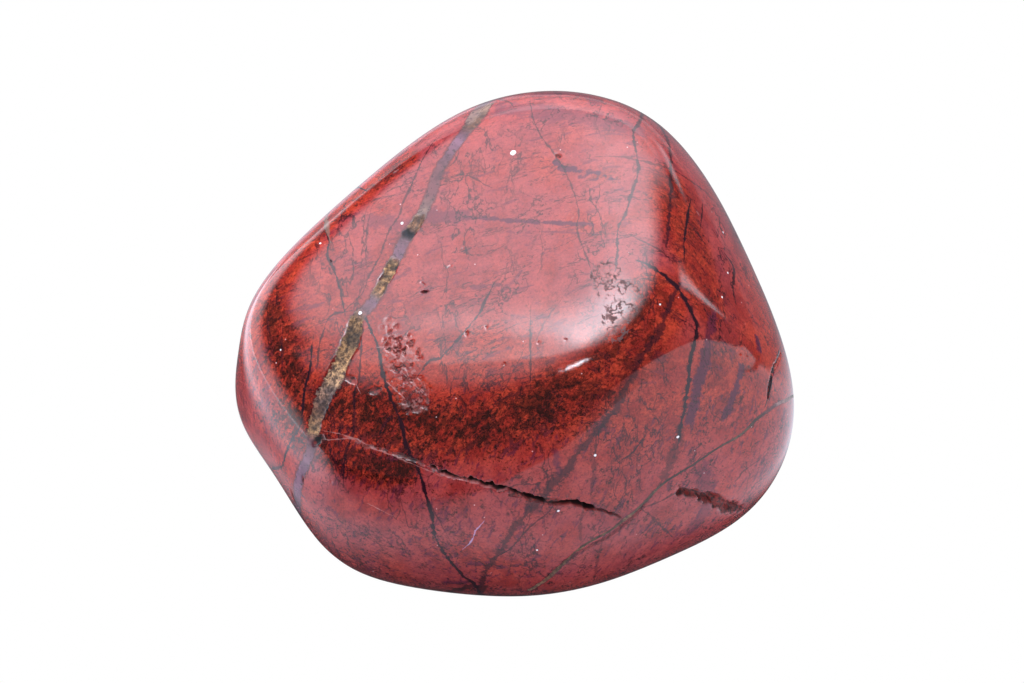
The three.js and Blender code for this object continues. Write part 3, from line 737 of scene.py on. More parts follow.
def detail_samples(tiny_pits):
    """Places that need a fine mesh: point, radius around it and longest edge there."""
    rows = []

    def add(points, radius, edge):
        rows.extend((point, radius, edge) for point in points)

    for groove in GROOVES:
        add(Route(groove.places).points, groove.width * 0.8, 0.07)
    for groove in HOLLOWS:
        add(Route(groove.places).points, groove.width * 0.6, 0.09)
    for pit in PITS:
        ends = points_at([pit.start, pit.finish])
        length = np.linalg.norm(ends[1] - ends[0])
        add(on_skin(ends.mean(axis=0)[None]), max(length, pit.width) * 0.6, max(0.06, pit.width * 0.2))
    for patch in PATCHES:
        add(Route(patch.places).points, patch.reach, 0.06)
    for start, finish, width, _ in tiny_pits:
        add([start, finish], width * 0.6, max(0.06, width * 0.3))
    for place, radius in DUST + BLACK_GRAINS:
        add(points_at([place]), radius * 1.2, 0.07)
    seam = Route([spot.place for spot in SEAM])
    add(seam.points, 0.2, 0.13)
    return rows


def stone_triangles(tiny_pits):
    """The unit vectors and the triangles of the stone's mesh, finest where the detail is."""
    toward, triangles = icosphere()
    rows = detail_samples(tiny_pits)
    tree = kdtree.KDTree(len(rows))
    for i, (point, _, _) in enumerate(rows):
        tree.insert(Vector(point), i)
    tree.balance()
    radii = np.array([radius for _, radius, _ in rows])
    edges = np.array([edge for _, _, edge in rows])

    def longest_edge(points):
        found = [tree.find(Vector(point))[1:] for point in points.tolist()]
        index = np.array([row[0] for row in found])
        distance = np.array([row[1] for row in found])
        return edges[index] * EDGE_ALLOWANCE + EDGE_GROWTH * np.clip(distance - radii[index], 0, None)

    for _ in range(SPLIT_PASSES):
        toward, triangles = split_long_edges(toward, triangles, longest_edge)
    return toward, triangles


def line_fields(line, points):
    """For each point near a line: its index, the offset across, the reach and the half width."""
    route = Route(line.places)
    near = route.near(points, 2 * LINE_CLEARANCE)
    distance, across, _, along = route.measure(points[near])
    half = line.half_width * end_fullness(along / route.along[-1])
    return near, across, distance, half


def layered(lines, points):
    """Lines sorted into layers in which no two come near each other. A layer keeps the offset across, the
    reach and the half width at each point, and the tint and the strength."""
    layers = []
    for line in lines:
        near, across, distance, half = line_fields(line, points)
        close = near[distance < LINE_CLEARANCE]
        free = [layer for layer in layers if not layer["taken"][close].any()]
        if free:
            layer = free[0]
        else:
            layer = {
                "taken": np.zeros(len(points), bool),
                "line": np.tile([FAR, FAR, 0.0], (len(points), 1)),
                "tint": np.zeros((len(points), 3)),
                "strength": np.zeros(len(points)),
            }
            layers.append(layer)
        layer["taken"][close] = True
        nearer = distance < layer["line"][near, 1]
        spots = near[nearer]
        layer["line"][spots] = np.stack([across, distance, half], axis=1)[nearer]
        layer["tint"][spots] = line.tint
        layer["strength"][spots] = line.strength
    return layers


def vein_fields(vein, points):
    """Offset across and reach in half widths, and the filling's colour and crumbliness, at each point."""
    route = Route([spot.place for spot in vein])
    near = route.near(points, 3)
    distance, across, step, _ = route.measure(points[near])
    counts = np.arange(len(vein))
    half = np.interp(step, counts, [spot.half_width for spot in vein])
    line = np.tile([FAR, FAR, 0.0], (len(points), 1))
    crumble = np.interp(step, counts, [spot.crumble for spot in vein])
    across, distance = np.clip(across / half, -FAR, FAR), np.clip(distance / half, 0, FAR)
    line[near] = np.stack([across, distance, crumble], axis=1)
    colour = np.zeros((len(points), 3))
    for channel in range(3):
        colour[near, channel] = np.interp(step, counts, [spot.colour[channel] for spot in vein])
    return line, colour


def relief(points, tiny_pits):
    """How deep the cracks, the hollows and the pits are at each point, how chalky it is and how netted."""
    crack, hollow, pit, chalk, net = (np.zeros(len(points)) for _ in range(5))
    for groove in GROOVES:
        crack = np.maximum(crack, groove_depth(groove, points))
    for groove in HOLLOWS:
        hollow = np.maximum(hollow, groove_depth(groove, points))
    for each in PITS:
        pit = np.maximum(pit, pit_depth(each, points))
    pit = np.maximum(pit, tiny_pit_depth(tiny_pits, points))
    for patch in PATCHES:
        depth, nearness = patch_depth(patch, points)
        pit = np.maximum(pit, depth)
        chalk = np.maximum(chalk, nearness * patch.chalkiness)
        net = np.maximum(net, nearness * patch.is_netted)
    broken = np.flatnonzero(pit > 0.08)
    pit[broken] += PIT_GRAIN * rough(points[broken], PIT_GRAIN_SIZE) * smooth_step(pit[broken], 0.08, 0.25)
    return crack, hollow, pit, chalk, net


def hollow_grain(hollow, points):
    """The height of the crumbly grains on the hollows' floors."""
    grain = np.zeros(len(points))
    worn = np.flatnonzero(hollow > 0.01)
    share = smooth_step(hollow[worn], 0.01, 0.1)
    grain[worn] = HOLLOW_GRAIN * rough(points[worn], HOLLOW_GRAIN_SIZE) * share
    return grain


def band_field(bands, points):
    """How far inside the nearest band each point is, and that band's strength."""
    field = np.tile([-FAR, 0.0, 0.0], (len(points), 1))
    for band in bands:
        near, _, distance, _ = line_fields(band, points)
        inside = 1 - distance / band.half_width
        nearer = inside > field[near, 0]
        field[near[nearer], 0] = np.clip(inside[nearer], -FAR, 1)
        field[near[nearer], 1] = band.strength
    return field


def spot_field(spots, points):
    """How far inside the nearest round spot each point is."""
    inside = np.full(len(points), -1.0)
    for place, radius in spots:
        apart = np.linalg.norm(points - points_at([place]), axis=1)
        inside = np.maximum(inside, np.clip(1 - apart / radius, -1, 1))
    return inside


def stone_mesh():
    """The stone's own fine mesh, with what its material needs to know at each corner."""
    rng = np.random.default_rng(SEED)
    tiny_pits = random_pits(rng)
    hairlines = [wandering_line(rng) for _ in range(HAIRLINES)]
    toward, triangles = stone_triangles(tiny_pits)
    skin = on_skin(MIDDLE + toward)
    crack, hollow, pit, chalk, net = relief(skin, tiny_pits)
    depth = np.maximum(np.maximum(crack, hollow), pit) + hollow_grain(hollow, skin)
    wave = sum(tall * rough(skin, size) for size, tall in WAVE_HEIGHTS)
    lift = wave * smooth_step(skin[:, 2], 0.05, 1.5) - depth
    points = skin + lift[:, None] * toward
    points[:, 2] = np.clip(points[:, 2], 0, None)

    mesh = bpy.data.meshes.new("jasper")
    mesh.from_pydata((points * MM).tolist(), [], triangles.tolist())
    mesh.polygons.foreach_set("use_smooth", np.ones(len(triangles), bool))

    def keep(name, values):
        """Stores one number or one vector for each corner."""
        kind, key = ("FLOAT", "value") if values.ndim == 1 else ("FLOAT_VECTOR", "vector")
        layer = mesh.attributes.new(name, kind, "POINT")
        layer.data.foreach_set(key, np.ascontiguousarray(values, np.float32).ravel())

    counts = {}
    for name, lines in (("dark", DARK_LINES + hairlines), ("pale", PALE_LINES)):
        layers = layered(lines, skin)
        counts[name] = len(layers)
        for i, layer in enumerate(layers):
            keep(f"{name}_{i}", layer["line"])
            keep(f"{name}_strength_{i}", layer["strength"])
            if name == "pale":
                keep(f"pale_tint_{i}", layer["tint"])
    for name, vein in (("vein", MAIN_VEIN), ("seam", SEAM)):
        line, colour = vein_fields(vein, skin)
        keep(name, line)
        keep(f"{name}_colour", colour)
    for name, bands in (("purple", PURPLE_BANDS), ("shade", DARK_BANDS)):
        keep(name, band_field(bands, skin))
    for name, spots in (("dust", DUST), ("black", BLACK_GRAINS)):
        keep(name, spot_field(spots, skin))
    keep("worn", np.stack([crack, hollow, pit], axis=1))
    keep("chalk", chalk)
    keep("net", net)
    return mesh, counts


class Shader:
    """Makes the nodes of one node tree and joins them."""

    def __init__(self, tree):
        self.tree = tree
        self.tree.nodes.clear()

    def node(self, kind, inputs=None, **settings):
        made = self.tree.nodes.new(kind)
        for key, value in settings.items():
            setattr(made, key, value)
        for key, value in (inputs or {}).items():
            self.put(made.inputs[key], value)
        return made

    def put(self, socket, value):
        """Joins a socket to another, or sets its value."""
        if isinstance(value, bpy.types.NodeSocket):
            self.tree.links.new(value, socket)
        else:
            socket.default_value = value

    def math(self, operation, *values):
        return self.node("ShaderNodeMath", dict(enumerate(values)), operation=operation).outputs[0]

    def times(self, first, second):
        return self.math("MULTIPLY", first, second)

    def scaled(self, value, factor, offset):
        """The value times the factor, plus the offset."""
        return self.math("MULTIPLY_ADD", value, factor, offset)

    def vector(self, operation, *values):
        made = self.node("ShaderNodeVectorMath", dict(enumerate(values)), operation=operation)
        return made.outputs["Value" if operation in ("DOT_PRODUCT", "LENGTH") else "Vector"]

    def split(self, vector):
        return self.node("ShaderNodeSeparateXYZ", {0: vector}).outputs

    def smooth(self, value, low, high, start=0.0, finish=1.0):
        """Eases from start to finish as the value goes from low to high."""
        inputs = {"Value": value, "From Min": low, "From Max": high, "To Min": start, "To Max": finish}
        return self.node("ShaderNodeMapRange", inputs, interpolation_type="SMOOTHSTEP").outputs["Result"]

    def mix(self, share, first, second, blend="MIX"):
        """Mixes two colours, given as sockets or linear colours."""
        inputs = {0: share, 6: opaque(first), 7: opaque(second)}
        return self.node("ShaderNodeMix", inputs, data_type="RGBA", blend_type=blend).outputs[2]

    def blend(self, share, first, second):
        """Mixes two numbers."""
        return self.node("ShaderNodeMix", {0: share, 2: first, 3: second}, data_type="FLOAT").outputs[0]

    def attribute(self, name, kind="Fac"):
        return self.node("ShaderNodeAttribute", attribute_name=name).outputs[kind]

    def noise(self, place, size, detail=2.0, roughness=0.5, distortion=0.0):
        """Noise from 0 to 1 with bumps of about this size, in the units of the place."""
        inputs = {"Vector": place, "Scale": 1 / size, "Detail": detail, "Roughness": roughness}
        made = self.node("ShaderNodeTexNoise", {**inputs, "Distortion": distortion})
        return made.outputs["Fac"]


def opaque(value):
    """A colour given as three numbers, with its fourth; a socket stays as it is."""
    return (*value, 1) if isinstance(value, tuple) else value


def new_material(name):
    """A material, and the maker of its nodes."""
    material = bpy.data.materials.new(name)
    material.use_nodes = True
    return material, Shader(material.node_tree)


# The rock's own colours, linear, with the painted shade of its pits and its cracks.
RED = (0.28, 0.021, 0.012)
ORANGE_RED = (0.39, 0.040, 0.018)
CRIMSON = (0.21, 0.015, 0.010)
MAUVE = (0.26, 0.055, 0.072)
PURPLE = (0.085, 0.012, 0.030)
MAROON = (0.018, 0.004, 0.003)
BROWN_STAIN = (0.050, 0.007, 0.004)
LINE_DARK = (0.020, 0.005, 0.009)
NET_BROWN = (0.060, 0.009, 0.009)
PIT_RED = (0.24, 0.015, 0.011)
# Painted shadow for the pits and chips, in patches among their broken red.
PIT_SHADE = (0.015, 0.003, 0.003)
# Painted shade deep inside the cracks.
CRACK_SHADE = (0.008, 0.0015, 0.0015)
GRAIN_BLACK = (0.008, 0.008, 0.010)
DUST_WHITE = (0.85, 0.82, 0.85)
SPARKLE = (0.6, 0.38, 0.38)
SPARKLE_CELL = 0.5
SPARKLE_SHARE = 0.12  # of the cells that have one
SPARKLE_RADIUS = 0.04
# How the mottling is squeezed: along the rock's upright beds, in slanting dashes and in upright hairs.
THIN_BEDS = (0.4, 2.2, 0.7)
DASHES = (1.7, 1.7, 0.5)
GRAIN_TURN = (0, math.radians(-22), 0)  # the slant of the dashes
UPRIGHT = (1.5, 0.6, 0.6)
GRAIN_SHADES = ((0.62,) * 3, (1.3,) * 3)  # how far the fine grain darkens and lightens the rock
QUARTZ_INDEX = 1.54
BUMP_STRENGTH = 0.1
BUMP_HEIGHT = 0.02
POLISH = 0.07  # roughness of the polished rock
WORN_ROUGHNESS = 0.6
CRUMBLE_ROUGHNESS = 0.75


def jasper_material(layer_counts):
    """The jasper: red rock under its dark lines, veins, pale lines, worn places and grains."""
    material, shader = new_material("jasper")
    place = in_millimetres(shader)
    rock = red_rock(shader, place)
    wobble = shader.scaled(shader.noise(place, 0.5, 5, 0.7), 0.22, -0.11)
    swell = shader.smooth(shader.noise(place, 0.45, 4, 0.65), 0.33, 0.66, 0.3, 1.9)
    for i in range(layer_counts["dark"]):
        rock = shader.mix(line_share(shader, "dark", i, wobble, swell), rock, LINE_DARK)
    roughness = POLISH
    for name in ("seam", "vein"):
        rock, roughness = filled_vein(shader, place, name, rock, roughness)
    for i in range(layer_counts["pale"]):
        tint = shader.attribute(f"pale_tint_{i}", "Color")
        rock = shader.mix(line_share(shader, "pale", i, wobble, swell), rock, tint)
    rock, roughness = worn_places(shader, place, rock, roughness)
    rock = grains(shader, place, rock)
    grain = shader.noise(place, 0.4, 3, 0.6)
    bump = shader.node("ShaderNodeBump", {
        "Strength": BUMP_STRENGTH, "Distance": BUMP_HEIGHT * MM, "Height": grain
    }).outputs[0]
    surface = shader.node("ShaderNodeBsdfPrincipled", {
        "Base Color": rock, "Roughness": roughness, "IOR": QUARTZ_INDEX, "Normal": bump
    })
    shader.node("ShaderNodeOutputMaterial", {"Surface": surface.outputs[0]})
    return material


def in_millimetres(shader):
    """The place on the object, in millimetres."""
    return shader.vector("MULTIPLY", shader.node("ShaderNodeTexCoord").outputs["Object"], (1 / MM,) * 3)


def red_rock(shader, place):
    """The red rock with its mauve parts, its purple stains and bands, and its dark hairs and specks."""
    tall = shader.split(place)[2]
    near_band, band_strength, _ = shader.split(shader.attribute("shade", "Vector"))
    banded = shader.times(shader.smooth(near_band, -0.5, 0.7), band_strength)
    # Mauve lies on the top and low down, and the purest red along the dark bands.
    mauve = shader.math("ADD", shader.smooth(tall, 14, 20, 0, 0.48), shader.smooth(tall, 9, 15, 0.48, 0))
    mauve = shader.times(mauve, shader.smooth(shader.noise(place, 2.2, 4, 0.6), 0.3, 0.6, 0.3, 1))
    mauve = shader.times(mauve, shader.smooth(banded, 0, 0.7, 1, 0))
    rock = shader.mix(mauve, flamed_rock(shader, place), MAUVE)
    # Stains and specks lie thickest along the dark bands, and are thin and pale on the top.
    cover = shader.scaled(banded, 0.085, shader.smooth(tall, 14, 19, -0.005, -0.03))
    cover = shader.math("ADD", cover, shader.scaled(shader.noise(place, 2.5, 3, 0.6), 0.22, -0.11))
    depth = shader.smooth(tall, 13, 18, 0.8, 0.55)
    stained = shader.smooth(shader.math("ADD", stains(shader, place, tall), cover), 0.53, 0.62)
    rock = shader.mix(shader.times(stained, depth), rock, shader.mix(banded, PURPLE, BROWN_STAIN))
    rock = band(shader, place, "purple", rock, PURPLE)
    rock = dark_hairs(shader, place, rock)
    for size in (0.30, 0.14):
        speck = shader.math("ADD", shader.noise(place, size, 4, 0.7, 0.5), cover)
        rock = shader.mix(shader.times(shader.smooth(speck, 0.56, 0.66), depth), rock, MAROON)
    return shader.mix(sparkles(shader, place), rock, SPARKLE)


def flamed_rock(shader, place):
    """Crimson and red rock with orange-red flames and a fine grain."""
    rock = shader.mix(shader.smooth(shader.noise(place, 4, 4), 0.35, 0.65), CRIMSON, RED)
    flame = shader.noise(place, 1.1, 6, 0.68, 0.2)
    rock = shader.mix(shader.smooth(flame, 0.42, 0.62, 0, 0.8), rock, ORANGE_RED)
    grain = shader.smooth(shader.noise(place, 0.13, 3, 0.7), 0.3, 0.7)
    return shader.mix(1.0, rock, shader.mix(grain, *GRAIN_SHADES), "MULTIPLY")


def stains(shader, place, tall):
    """The stains' noise: upright dashes low down, and along the beds higher up."""
    turned = shader.node("ShaderNodeVectorRotate", {"Vector": place, "Rotation": GRAIN_TURN},
                         rotation_type="EULER_XYZ").outputs[0]
    dashes = shader.noise(shader.vector("MULTIPLY", turned, DASHES), 0.5, 6, 0.68, 0.3)
    beds = shader.noise(shader.vector("MULTIPLY", place, THIN_BEDS), 0.7, 6, 0.68, 0.3)
    return shader.blend(shader.smooth(tall, 12, 17), dashes, beds)


def dark_hairs(shader, place, rock):
    """Three sets of fine dark hairs, each in patches of its own."""
    upright = shader.vector("MULTIPLY", place, UPRIGHT)
    beds = shader.vector("MULTIPLY", place, THIN_BEDS)
    for where, size, limit in ((upright, 1.5, 0.48), (place, 1.1, 0.52), (beds, 0.8, 0.48)):
        patches = shader.smooth(shader.noise(where, 2 * size, 2), limit, limit + 0.12)
        rock = shader.mix(crazing(shader, where, size, patches), rock, LINE_DARK)
    return rock


def band(shader, place, name, rock, tint):
    """Lays soft-edged, mottled bands over the rock."""
    inside, strength, _ = shader.split(shader.attribute(name, "Vector"))
    edge = shader.scaled(shader.noise(place, 0.45, 6, 0.72), 3.0, -1.6)
    share = shader.smooth(shader.math("ADD", inside, edge), 0, 0.5)
    return shader.mix(shader.times(share, strength), rock, tint)


def crazing(shader, place, size, share, fade=0.024):
    """Fine crooked lines, about as far apart as the size, in the places that the share leaves."""
    ridge = shader.math("ABSOLUTE", shader.math("SUBTRACT", shader.noise(place, size, 4, 0.55), 0.5))
    return shader.times(shader.smooth(ridge, 0.004, fade, 0.75, 0), share)


def sparkles(shader, place):
    """Tiny pale crystals, one in each cell of a scattering, where the skin happens to cut them."""
    cells = shader.node("ShaderNodeTexVoronoi", {"Vector": place, "Scale": 1 / SPARKLE_CELL}).outputs
    chosen = shader.math("GREATER_THAN", shader.split(cells["Color"])[0], 1 - SPARKLE_SHARE)
    radius = SPARKLE_RADIUS / SPARKLE_CELL
    return shader.times(chosen, shader.smooth(cells["Distance"], 0.6 * radius, radius, 1, 0))


def line_share(shader, name, layer, wobble, swell):
    """How much of a layer's thin lines covers each point."""
    across, far, half = shader.split(shader.attribute(f"{name}_{layer}", "Vector"))
    apart = shader.math("ABSOLUTE", shader.math("ADD", across, wobble))
    width = shader.math("MAXIMUM", shader.times(half, swell), 0.001)
    inside = shader.smooth(shader.math("DIVIDE", apart, width), 0.7, 1.7, 1, 0)
    inside = shader.times(inside, shader.smooth(far, 0.45, 0.65, 1, 0))
    return shader.times(inside, shader.attribute(f"{name}_strength_{layer}"))


def filled_vein(shader, place, name, rock, roughness):
    """Lays a vein over the rock: its dark borders and its filling, grainy where it crumbles."""
    across, far, crumble = shader.split(shader.attribute(name, "Vector"))
    filling = shader.attribute(f"{name}_colour", "Color")
    grain = shader.noise(place, 0.2, 4, 0.7)
    light = shader.mix(shader.smooth(grain, 0.38, 0.64), (0.25, 0.2, 0.18), (1.8, 1.8, 1.75))
    lumps = shader.smooth(shader.noise(place, 0.55, 3, 0.6), 0.35, 0.65)
    light = shader.mix(1.0, light, shader.mix(lumps, (0.5, 0.5, 0.55), (1.5, 1.4, 1.2)), "MULTIPLY")
    grainy = shader.mix(1.0, filling, light, "MULTIPLY")
    clouds = shader.smooth(shader.noise(place, 0.7, 3), 0.4, 0.6)
    cloudy = shader.mix(clouds, (0.75, 0.7, 0.75), (1.25, 1.3, 1.2))
    filling = shader.mix(crumble, shader.mix(1.0, filling, cloudy, "MULTIPLY"), grainy)
    # Dark flecks, thickest toward the borders.
    fleck = shader.scaled(shader.smooth(far, 0.3, 1.0), 0.06, shader.noise(place, 0.22, 4, 0.7))
    filling = shader.mix(shader.smooth(fleck, 0.56, 0.66, 0, 0.8), filling, LINE_DARK)
    shift = shader.scaled(shader.noise(place, 0.4, 4, 0.65), 1.4, -0.7)
    width = shader.math("ABSOLUTE", shader.math("ADD", across, shift))
    inside = shader.times(shader.smooth(width, 0.85, 1.1, 1, 0), shader.smooth(far, 1.4, 1.8, 1, 0))
    border = shader.times(shader.smooth(width, 1.0, 1.5, 1, 0), shader.smooth(far, 1.6, 2.0, 0.6, 0))
    rock = shader.mix(inside, shader.mix(border, rock, LINE_DARK), filling)
    return rock, shader.blend(shader.times(inside, crumble), roughness, CRUMBLE_ROUGHNESS)


def worn_places(shader, place, rock, roughness):
    """Pits, chips and the crack: dull, with painted shade that darkens them inside as they deepen, and chalky
    in the flaked patches, where the pale pink is partly a painted highlight.
    """
    crack, _, pit = shader.split(shader.attribute("worn", "Vector"))
    chalk = shader.attribute("chalk")
    # Pale pink in the flaked patches: partly chalky wear, partly a painted highlight standing for light
    # caught on the flakes' rims.
    chalky = shader.times(chalk, shader.smooth(shader.noise(place, 0.25, 3, 0.6), 0.52, 0.6, 0, 0.6))
    rock = shader.mix(chalky, rock, PINK)
    # Painted shade: pits, chips and flakes take dark patches among their broken red, the more the deeper they
    # are.
    broken = shader.mix(shader.smooth(shader.noise(place, 0.2, 4, 0.7), 0.44, 0.56), PIT_SHADE, PIT_RED)
    rock = shader.mix(shader.smooth(pit, 0.01, 0.09, 0, 0.9), rock, broken)
    # Painted shade: the grooves of the cracks and of the seam darken toward black as they deepen.
    rock = shader.mix(shader.smooth(crack, 0.06, 0.25, 0, 0.97), rock, CRACK_SHADE)
    net = cracked_net(shader, place)
    rock = shader.mix(net, rock, NET_BROWN)
    deepest = shader.math("MAXIMUM", pit, crack)
    worn = shader.smooth(shader.scaled(chalk, 0.015, deepest), 0.004, 0.035)
    return rock, shader.blend(shader.math("MAXIMUM", worn, net), roughness, WORN_ROUGHNESS)


def cracked_net(shader, place):
    """How much a net of fine dull cracks, with knots where they meet, covers each point."""
    knots = shader.smooth(shader.noise(place, 0.35, 5, 0.7), 0.51, 0.57)
    knots = shader.times(knots, crazing(shader, place, 1.4, 1.0, 0.12))
    net = shader.math("MAXIMUM", knots, crazing(shader, place, 0.9, 1.0, 0.03))
    net = shader.times(shader.smooth(shader.attribute("net"), 0.1, 0.6), net)
    return shader.math("MINIMUM", shader.times(net, 1.3), 1.0)


def grains(shader, place, rock):
    """Black grains and white dust."""
    ragged = shader.scaled(shader.noise(place, 0.15, 3), 0.8, -0.4)
    black = shader.math("ADD", shader.attribute("black"), ragged)
    rock = shader.mix(shader.smooth(black, 0, 0.2), rock, GRAIN_BLACK)
    dust = shader.math("ADD", shader.attribute("dust"), ragged)
    return shader.mix(shader.smooth(dust, 0.1, 0.3), rock, DUST_WHITE)


def make_stone():
    """The stone itself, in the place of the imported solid."""
    mesh, layer_counts = stone_mesh()
    stone = bpy.data.objects.new("jasper_pebble", mesh)
    bpy.context.scene.collection.objects.link(stone)
    mesh.materials.append(jasper_material(layer_counts))
    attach(stone, "root")
    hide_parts("jasper_stone")


WHITE = (1.0, 1.0, 1.0)
COOL_WHITE = (0.93, 0.97, 1.06)
FLOOR_RADIUS = 300
FLOOR_CORNERS = 96
FLOOR_TINT = (0.93, 0.97, 1.12)
FLOOR_GLOW = 0.9  # how bright the lit table mirrors in the stone
FLOOR_BOUNCE = 1.8  # how much brighter it lights the stone
# The shadow under the stone, an ellipse: its middle, its reach in x and y, and the light that is left.
SHADOW_MIDDLE = (1, 2, 0)
SHADOW_REACH = (16, 15, 1e6)
SHADOW_GLOW = 0.06
LEFT_GLOW = 3.1  # the light that the bright left side adds on the table
RIGHT_GLOW = 0.42
BACK_GLOW = 0.2  # share of the light that is left on the table behind the stone
BACK_LEFT_GLOW = 0.9
# The table's lit parts end at straight lines, each given by a place on it and the way in.
LEFT_FRONT = ((-15, -15, 0), (-0.6, 0.8, 0))
LEFT_RIGHT = ((-24, -8, 0), (-0.92, -0.39, 0))
FRONT_LEFT = ((-14, -24, 0), (0.96, -0.27, 0))
BACK_RIGHT = ((0, 8, 0), (0.375, -0.927, 0))
CARD_FOOT = ((115, -147, 0), (-0.616, 0.788, 0))


def make_floor():
    """The table: plain white to look at, and mirrored in the stone with its light and its shadow."""
    disc = bmesh.new()
    bmesh.ops.create_circle(disc, cap_ends=True, segments=FLOOR_CORNERS, radius=FLOOR_RADIUS * MM)
    mesh = bpy.data.meshes.new("floor")
    disc.to_mesh(mesh)
    disc.free()
    floor = bpy.data.objects.new("floor", mesh)
    bpy.context.scene.collection.objects.link(floor)
    material, shader = new_material("floor")
    place = shader.vector("MULTIPLY", shader.node("ShaderNodeTexCoord").outputs["Object"], (1 / MM,) * 3)
    offset = shader.vector("SUBTRACT", place, SHADOW_MIDDLE)
    out = shader.vector("LENGTH", shader.vector("DIVIDE", offset, SHADOW_REACH))
    lit = shader.smooth(out, 0.85, 1.2, SHADOW_GLOW, 1)
    x, y, _ = shader.split(place)

    def within(line, start, finish):
        """Eases from 0 to 1 between two distances past a line."""
        from_line = shader.vector("SUBTRACT", place, line[0])
        return shader.smooth(shader.vector("DOT_PRODUCT", from_line, line[1]), start, finish)

    left = shader.times(within(LEFT_FRONT, -3, 8), within(LEFT_RIGHT, -8, 12))
    beside = shader.times(shader.smooth(x, -30, -15), shader.smooth(y, -30, -10))
    front = shader.math("MAXIMUM", within(FRONT_LEFT, -6, 6), beside)
    front = shader.times(front, within(CARD_FOOT, 0, 3))
    front = shader.times(front, shader.smooth(x, 2, 28, FLOOR_GLOW, FLOOR_GLOW + RIGHT_GLOW))
    front = shader.times(front, shader.blend(within(BACK_RIGHT, -12, 12), BACK_GLOW, 1))
    behind = shader.times(shader.smooth(x, -30, 10, BACK_LEFT_GLOW, 0), shader.smooth(y, 10, 40))
    front = shader.math("MAXIMUM", front, behind)
    glow = shader.times(lit, shader.scaled(left, LEFT_GLOW, front))
    rays = shader.node("ShaderNodeLightPath").outputs
    bounce = shader.scaled(rays["Is Diffuse Ray"], FLOOR_BOUNCE - 1, 1)
    glow = shader.times(glow, bounce)
    mirrored = shader.node("ShaderNodeEmission", {"Color": opaque(FLOOR_TINT), "Strength": glow}).outputs[0]
    looked_at = shader.node("ShaderNodeEmission", {"Color": opaque(WHITE)}).outputs[0]
    surface = shader.node("ShaderNodeMixShader", {0: rays["Is Camera Ray"], 1: mirrored, 2: looked_at})
    shader.node("ShaderNodeOutputMaterial", {"Surface": surface.outputs[0]})
    mesh.materials.append(material)


class Edge(NamedTuple):
    """Where a panel's light ends: a place on the edge, the way in, and half the width of the fade."""

    place: tuple
    inward: tuple
    softness: float


class Panel(NamedTuple):
    """A flat light: its middle, the way it faces, width, height, radiance, soft edges, turn in degrees, and
    whether the polish mirrors it."""

    middle: tuple
    facing: tuple
    width: float
    height: float
    radiance: float
    edges: tuple = ()
    turn: float = 0
    is_mirrored: bool = True


DOWN = (0, 0, -1)
CEILING = 350
LIFT = 3  # between two panels that overlap, since a ray meets only one of two panels at the same height
# The front edge of the panels overhead runs slantwise from near on the left to far on the right.
SLANT = Edge((-219, -287, CEILING), (-0.648, 0.762, 0), 42)
LAMP_FRONT = Edge((-233, -271, CEILING), (-0.648, 0.762, 0), 24)
PANELS = {
    "overhead": Panel((280, 400, CEILING), DOWN, 1340, 1400, 3.5, (
        SLANT,
        Edge((-312, 0, CEILING), (1, 0, 0), 65),
        Edge((-278, 180, CEILING), (0.92, -0.39, 0), 45),
        Edge((0, 320, CEILING), (0, -1, 0), 420),
    )),
    "overhead right": Panel((240, 150, CEILING + LIFT), DOWN, 820, 900, 2.3, (
        SLANT, Edge((-120, 0, CEILING), (0.95, -0.3, 0), 55), Edge((0, 130, CEILING), (0, -1, 0), 200),
    )),
    "lamp": Panel((-160, -157, CEILING - LIFT), DOWN, 345, 330, 9.0, (
        LAMP_FRONT,
        Edge((-289, -205, CEILING), (0.648, -0.762, 0), 50),
        Edge((-238, 0, CEILING), (1, 0, 0), 22),
        Edge((-33, -151, CEILING), (-0.762, -0.648, 0), 60),
    )),
    "spill": Panel((-330, -320, CEILING - 2 * LIFT), DOWN, 380, 420, 2.0, (
        SLANT,
        Edge((-400, -320, CEILING), (1, 0, 0), 100),
        Edge((-330, -235, CEILING), (0, -1, 0), 60),
        Edge((-330, -430, CEILING), (0, 1, 0), 90),
    )),
    "strip": Panel((1600, 890, CEILING - 3 * LIFT), DOWN, 2800, 90, 3.4, (
        Edge((1612, 872, CEILING), (-0.552, 0.834, 0), 18),
        Edge((1588, 908, CEILING), (0.552, -0.834, 0), 18),
        Edge((2300, 1357, CEILING), (-0.834, -0.552, 0), 900),
        Edge((520, 174, CEILING), (0.834, 0.552, 0), 90),
    ), 33.5),
    "left card": Panel((-190, 60, 90), (1, 0, 0), 410, 180, 2.5, (
        Edge((-190, 0, 68), (0, 0.33, -0.944), 30), Edge((-190, -120, 0), (0, 1, 0), 24),
    )),
    "behind": Panel((275, 1100, 520), (0, -1, 0), 2150, 1160, 0.5, (Edge((700, 0, 0), (-1, 0, 0), 150),)),
    "high behind": Panel((275, 1100 + LIFT, 620), (0, -1, 0), 2150, 960, 0.7, (
        Edge((1180, 0, 0), (-1, 0, 0), 80), Edge((0, 0, 330), (0, 0, 1), 190),
    )),
    "right behind": Panel((900, 1100 - LIFT, 320), (0, -1, 0), 800, 520, 1.6, (
        Edge((1180, 0, 0), (-1, 0, 0), 80),
        Edge((760, 0, 0), (1, 0, 0), 120),
        Edge((0, 0, 240), (0, 0, 1), 60),
        Edge((0, 0, 400), (0, 0, -1), 150),
    )),
    "card": Panel((365, 44, 29.5), (-0.616, 0.788, 0), 1030, 59, 1.25, (
        Edge((30, -218, 0), (0.788, 0.616, 0), 100),
    )),
    "spark": Panel((-265, -392, CEILING - 4 * LIFT), DOWN, 46, 10, 50.0, (), 40),
    "fill": Panel((0, 330, 330), (0, -0.7, -0.7), 300, 300, 9.0, (), 0, False),
}


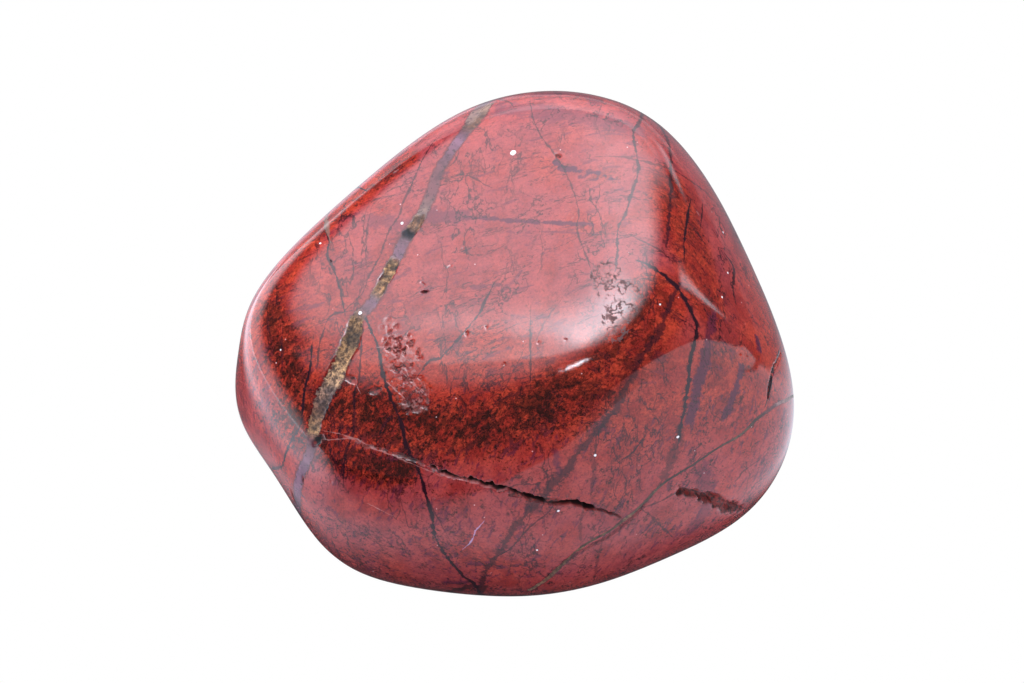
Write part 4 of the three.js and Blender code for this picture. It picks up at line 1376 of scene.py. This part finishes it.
def make_lights():
    for name, panel in PANELS.items():
        light = bpy.data.lights.new(name, "AREA")
        light.shape = "RECTANGLE"
        light.size, light.size_y = panel.width * MM, panel.height * MM
        light.energy = panel.radiance * math.pi * light.size * light.size_y
        light.color = COOL_WHITE
        fade_light(light, panel.edges)
        lamp = bpy.data.objects.new(name, light)
        lamp.location = Vector(panel.middle) * MM
        turn = Quaternion((0, 0, 1), math.radians(panel.turn))
        lamp.rotation_euler = (Vector(panel.facing).to_track_quat("-Z", "Y") @ turn).to_euler()
        lamp.visible_camera = False
        lamp.visible_glossy = panel.is_mirrored
        bpy.context.scene.collection.objects.link(lamp)


def fade_light(light, edges):
    """Lets a panel's light fade out across its soft edges."""
    light.use_nodes = True
    shader = Shader(light.node_tree)
    place = shader.node("ShaderNodeNewGeometry").outputs["Position"]
    share = 1.0
    for edge in edges:
        within = shader.vector("DOT_PRODUCT", place, edge.inward)
        middle = Vector(edge.place).dot(edge.inward)
        fade = shader.smooth(within, (middle - edge.softness) * MM, (middle + edge.softness) * MM)
        share = shader.times(share, fade)
    glow = shader.node("ShaderNodeEmission", {"Strength": share})
    shader.node("ShaderNodeOutputLight", {"Surface": glow.outputs[0]})


DARK_ROOM = (0.10, 0.10, 0.11)


def make_world():
    """A dark room that mirrors in the stone, and a white backdrop to look at."""
    world = bpy.data.worlds.new("room")
    bpy.context.scene.world = world
    world.use_nodes = True
    shader = Shader(world.node_tree)
    room = shader.node("ShaderNodeBackground", {"Color": opaque(DARK_ROOM)}).outputs[0]
    backdrop = shader.node("ShaderNodeBackground", {"Color": opaque(WHITE)}).outputs[0]
    seen = shader.node("ShaderNodeLightPath").outputs["Is Camera Ray"]
    surface = shader.node("ShaderNodeMixShader", {0: seen, 1: room, 2: backdrop})
    shader.node("ShaderNodeOutputWorld", {"Surface": surface.outputs[0]})


def make_camera():
    camera = bpy.data.cameras.new("camera")
    camera.sensor_width = SENSOR_WIDTH
    camera.lens = SENSOR_WIDTH * VIEW_DISTANCE / (PICTURE_WIDTH * MM_PER_PIXEL)
    camera.clip_start = 0.01
    holder = bpy.data.objects.new("camera", camera)
    holder.location = Vector(EYE) * MM
    holder.rotation_euler = Vector(-BACK).to_track_quat("-Z", "Y").to_euler()
    bpy.context.scene.collection.objects.link(holder)
    bpy.context.scene.camera = holder


make_camera()
make_world()
make_lights()
make_floor()
make_stone()
bpy.context.scene.view_settings.view_transform = "Standard"
bpy.context.view_layer.update()
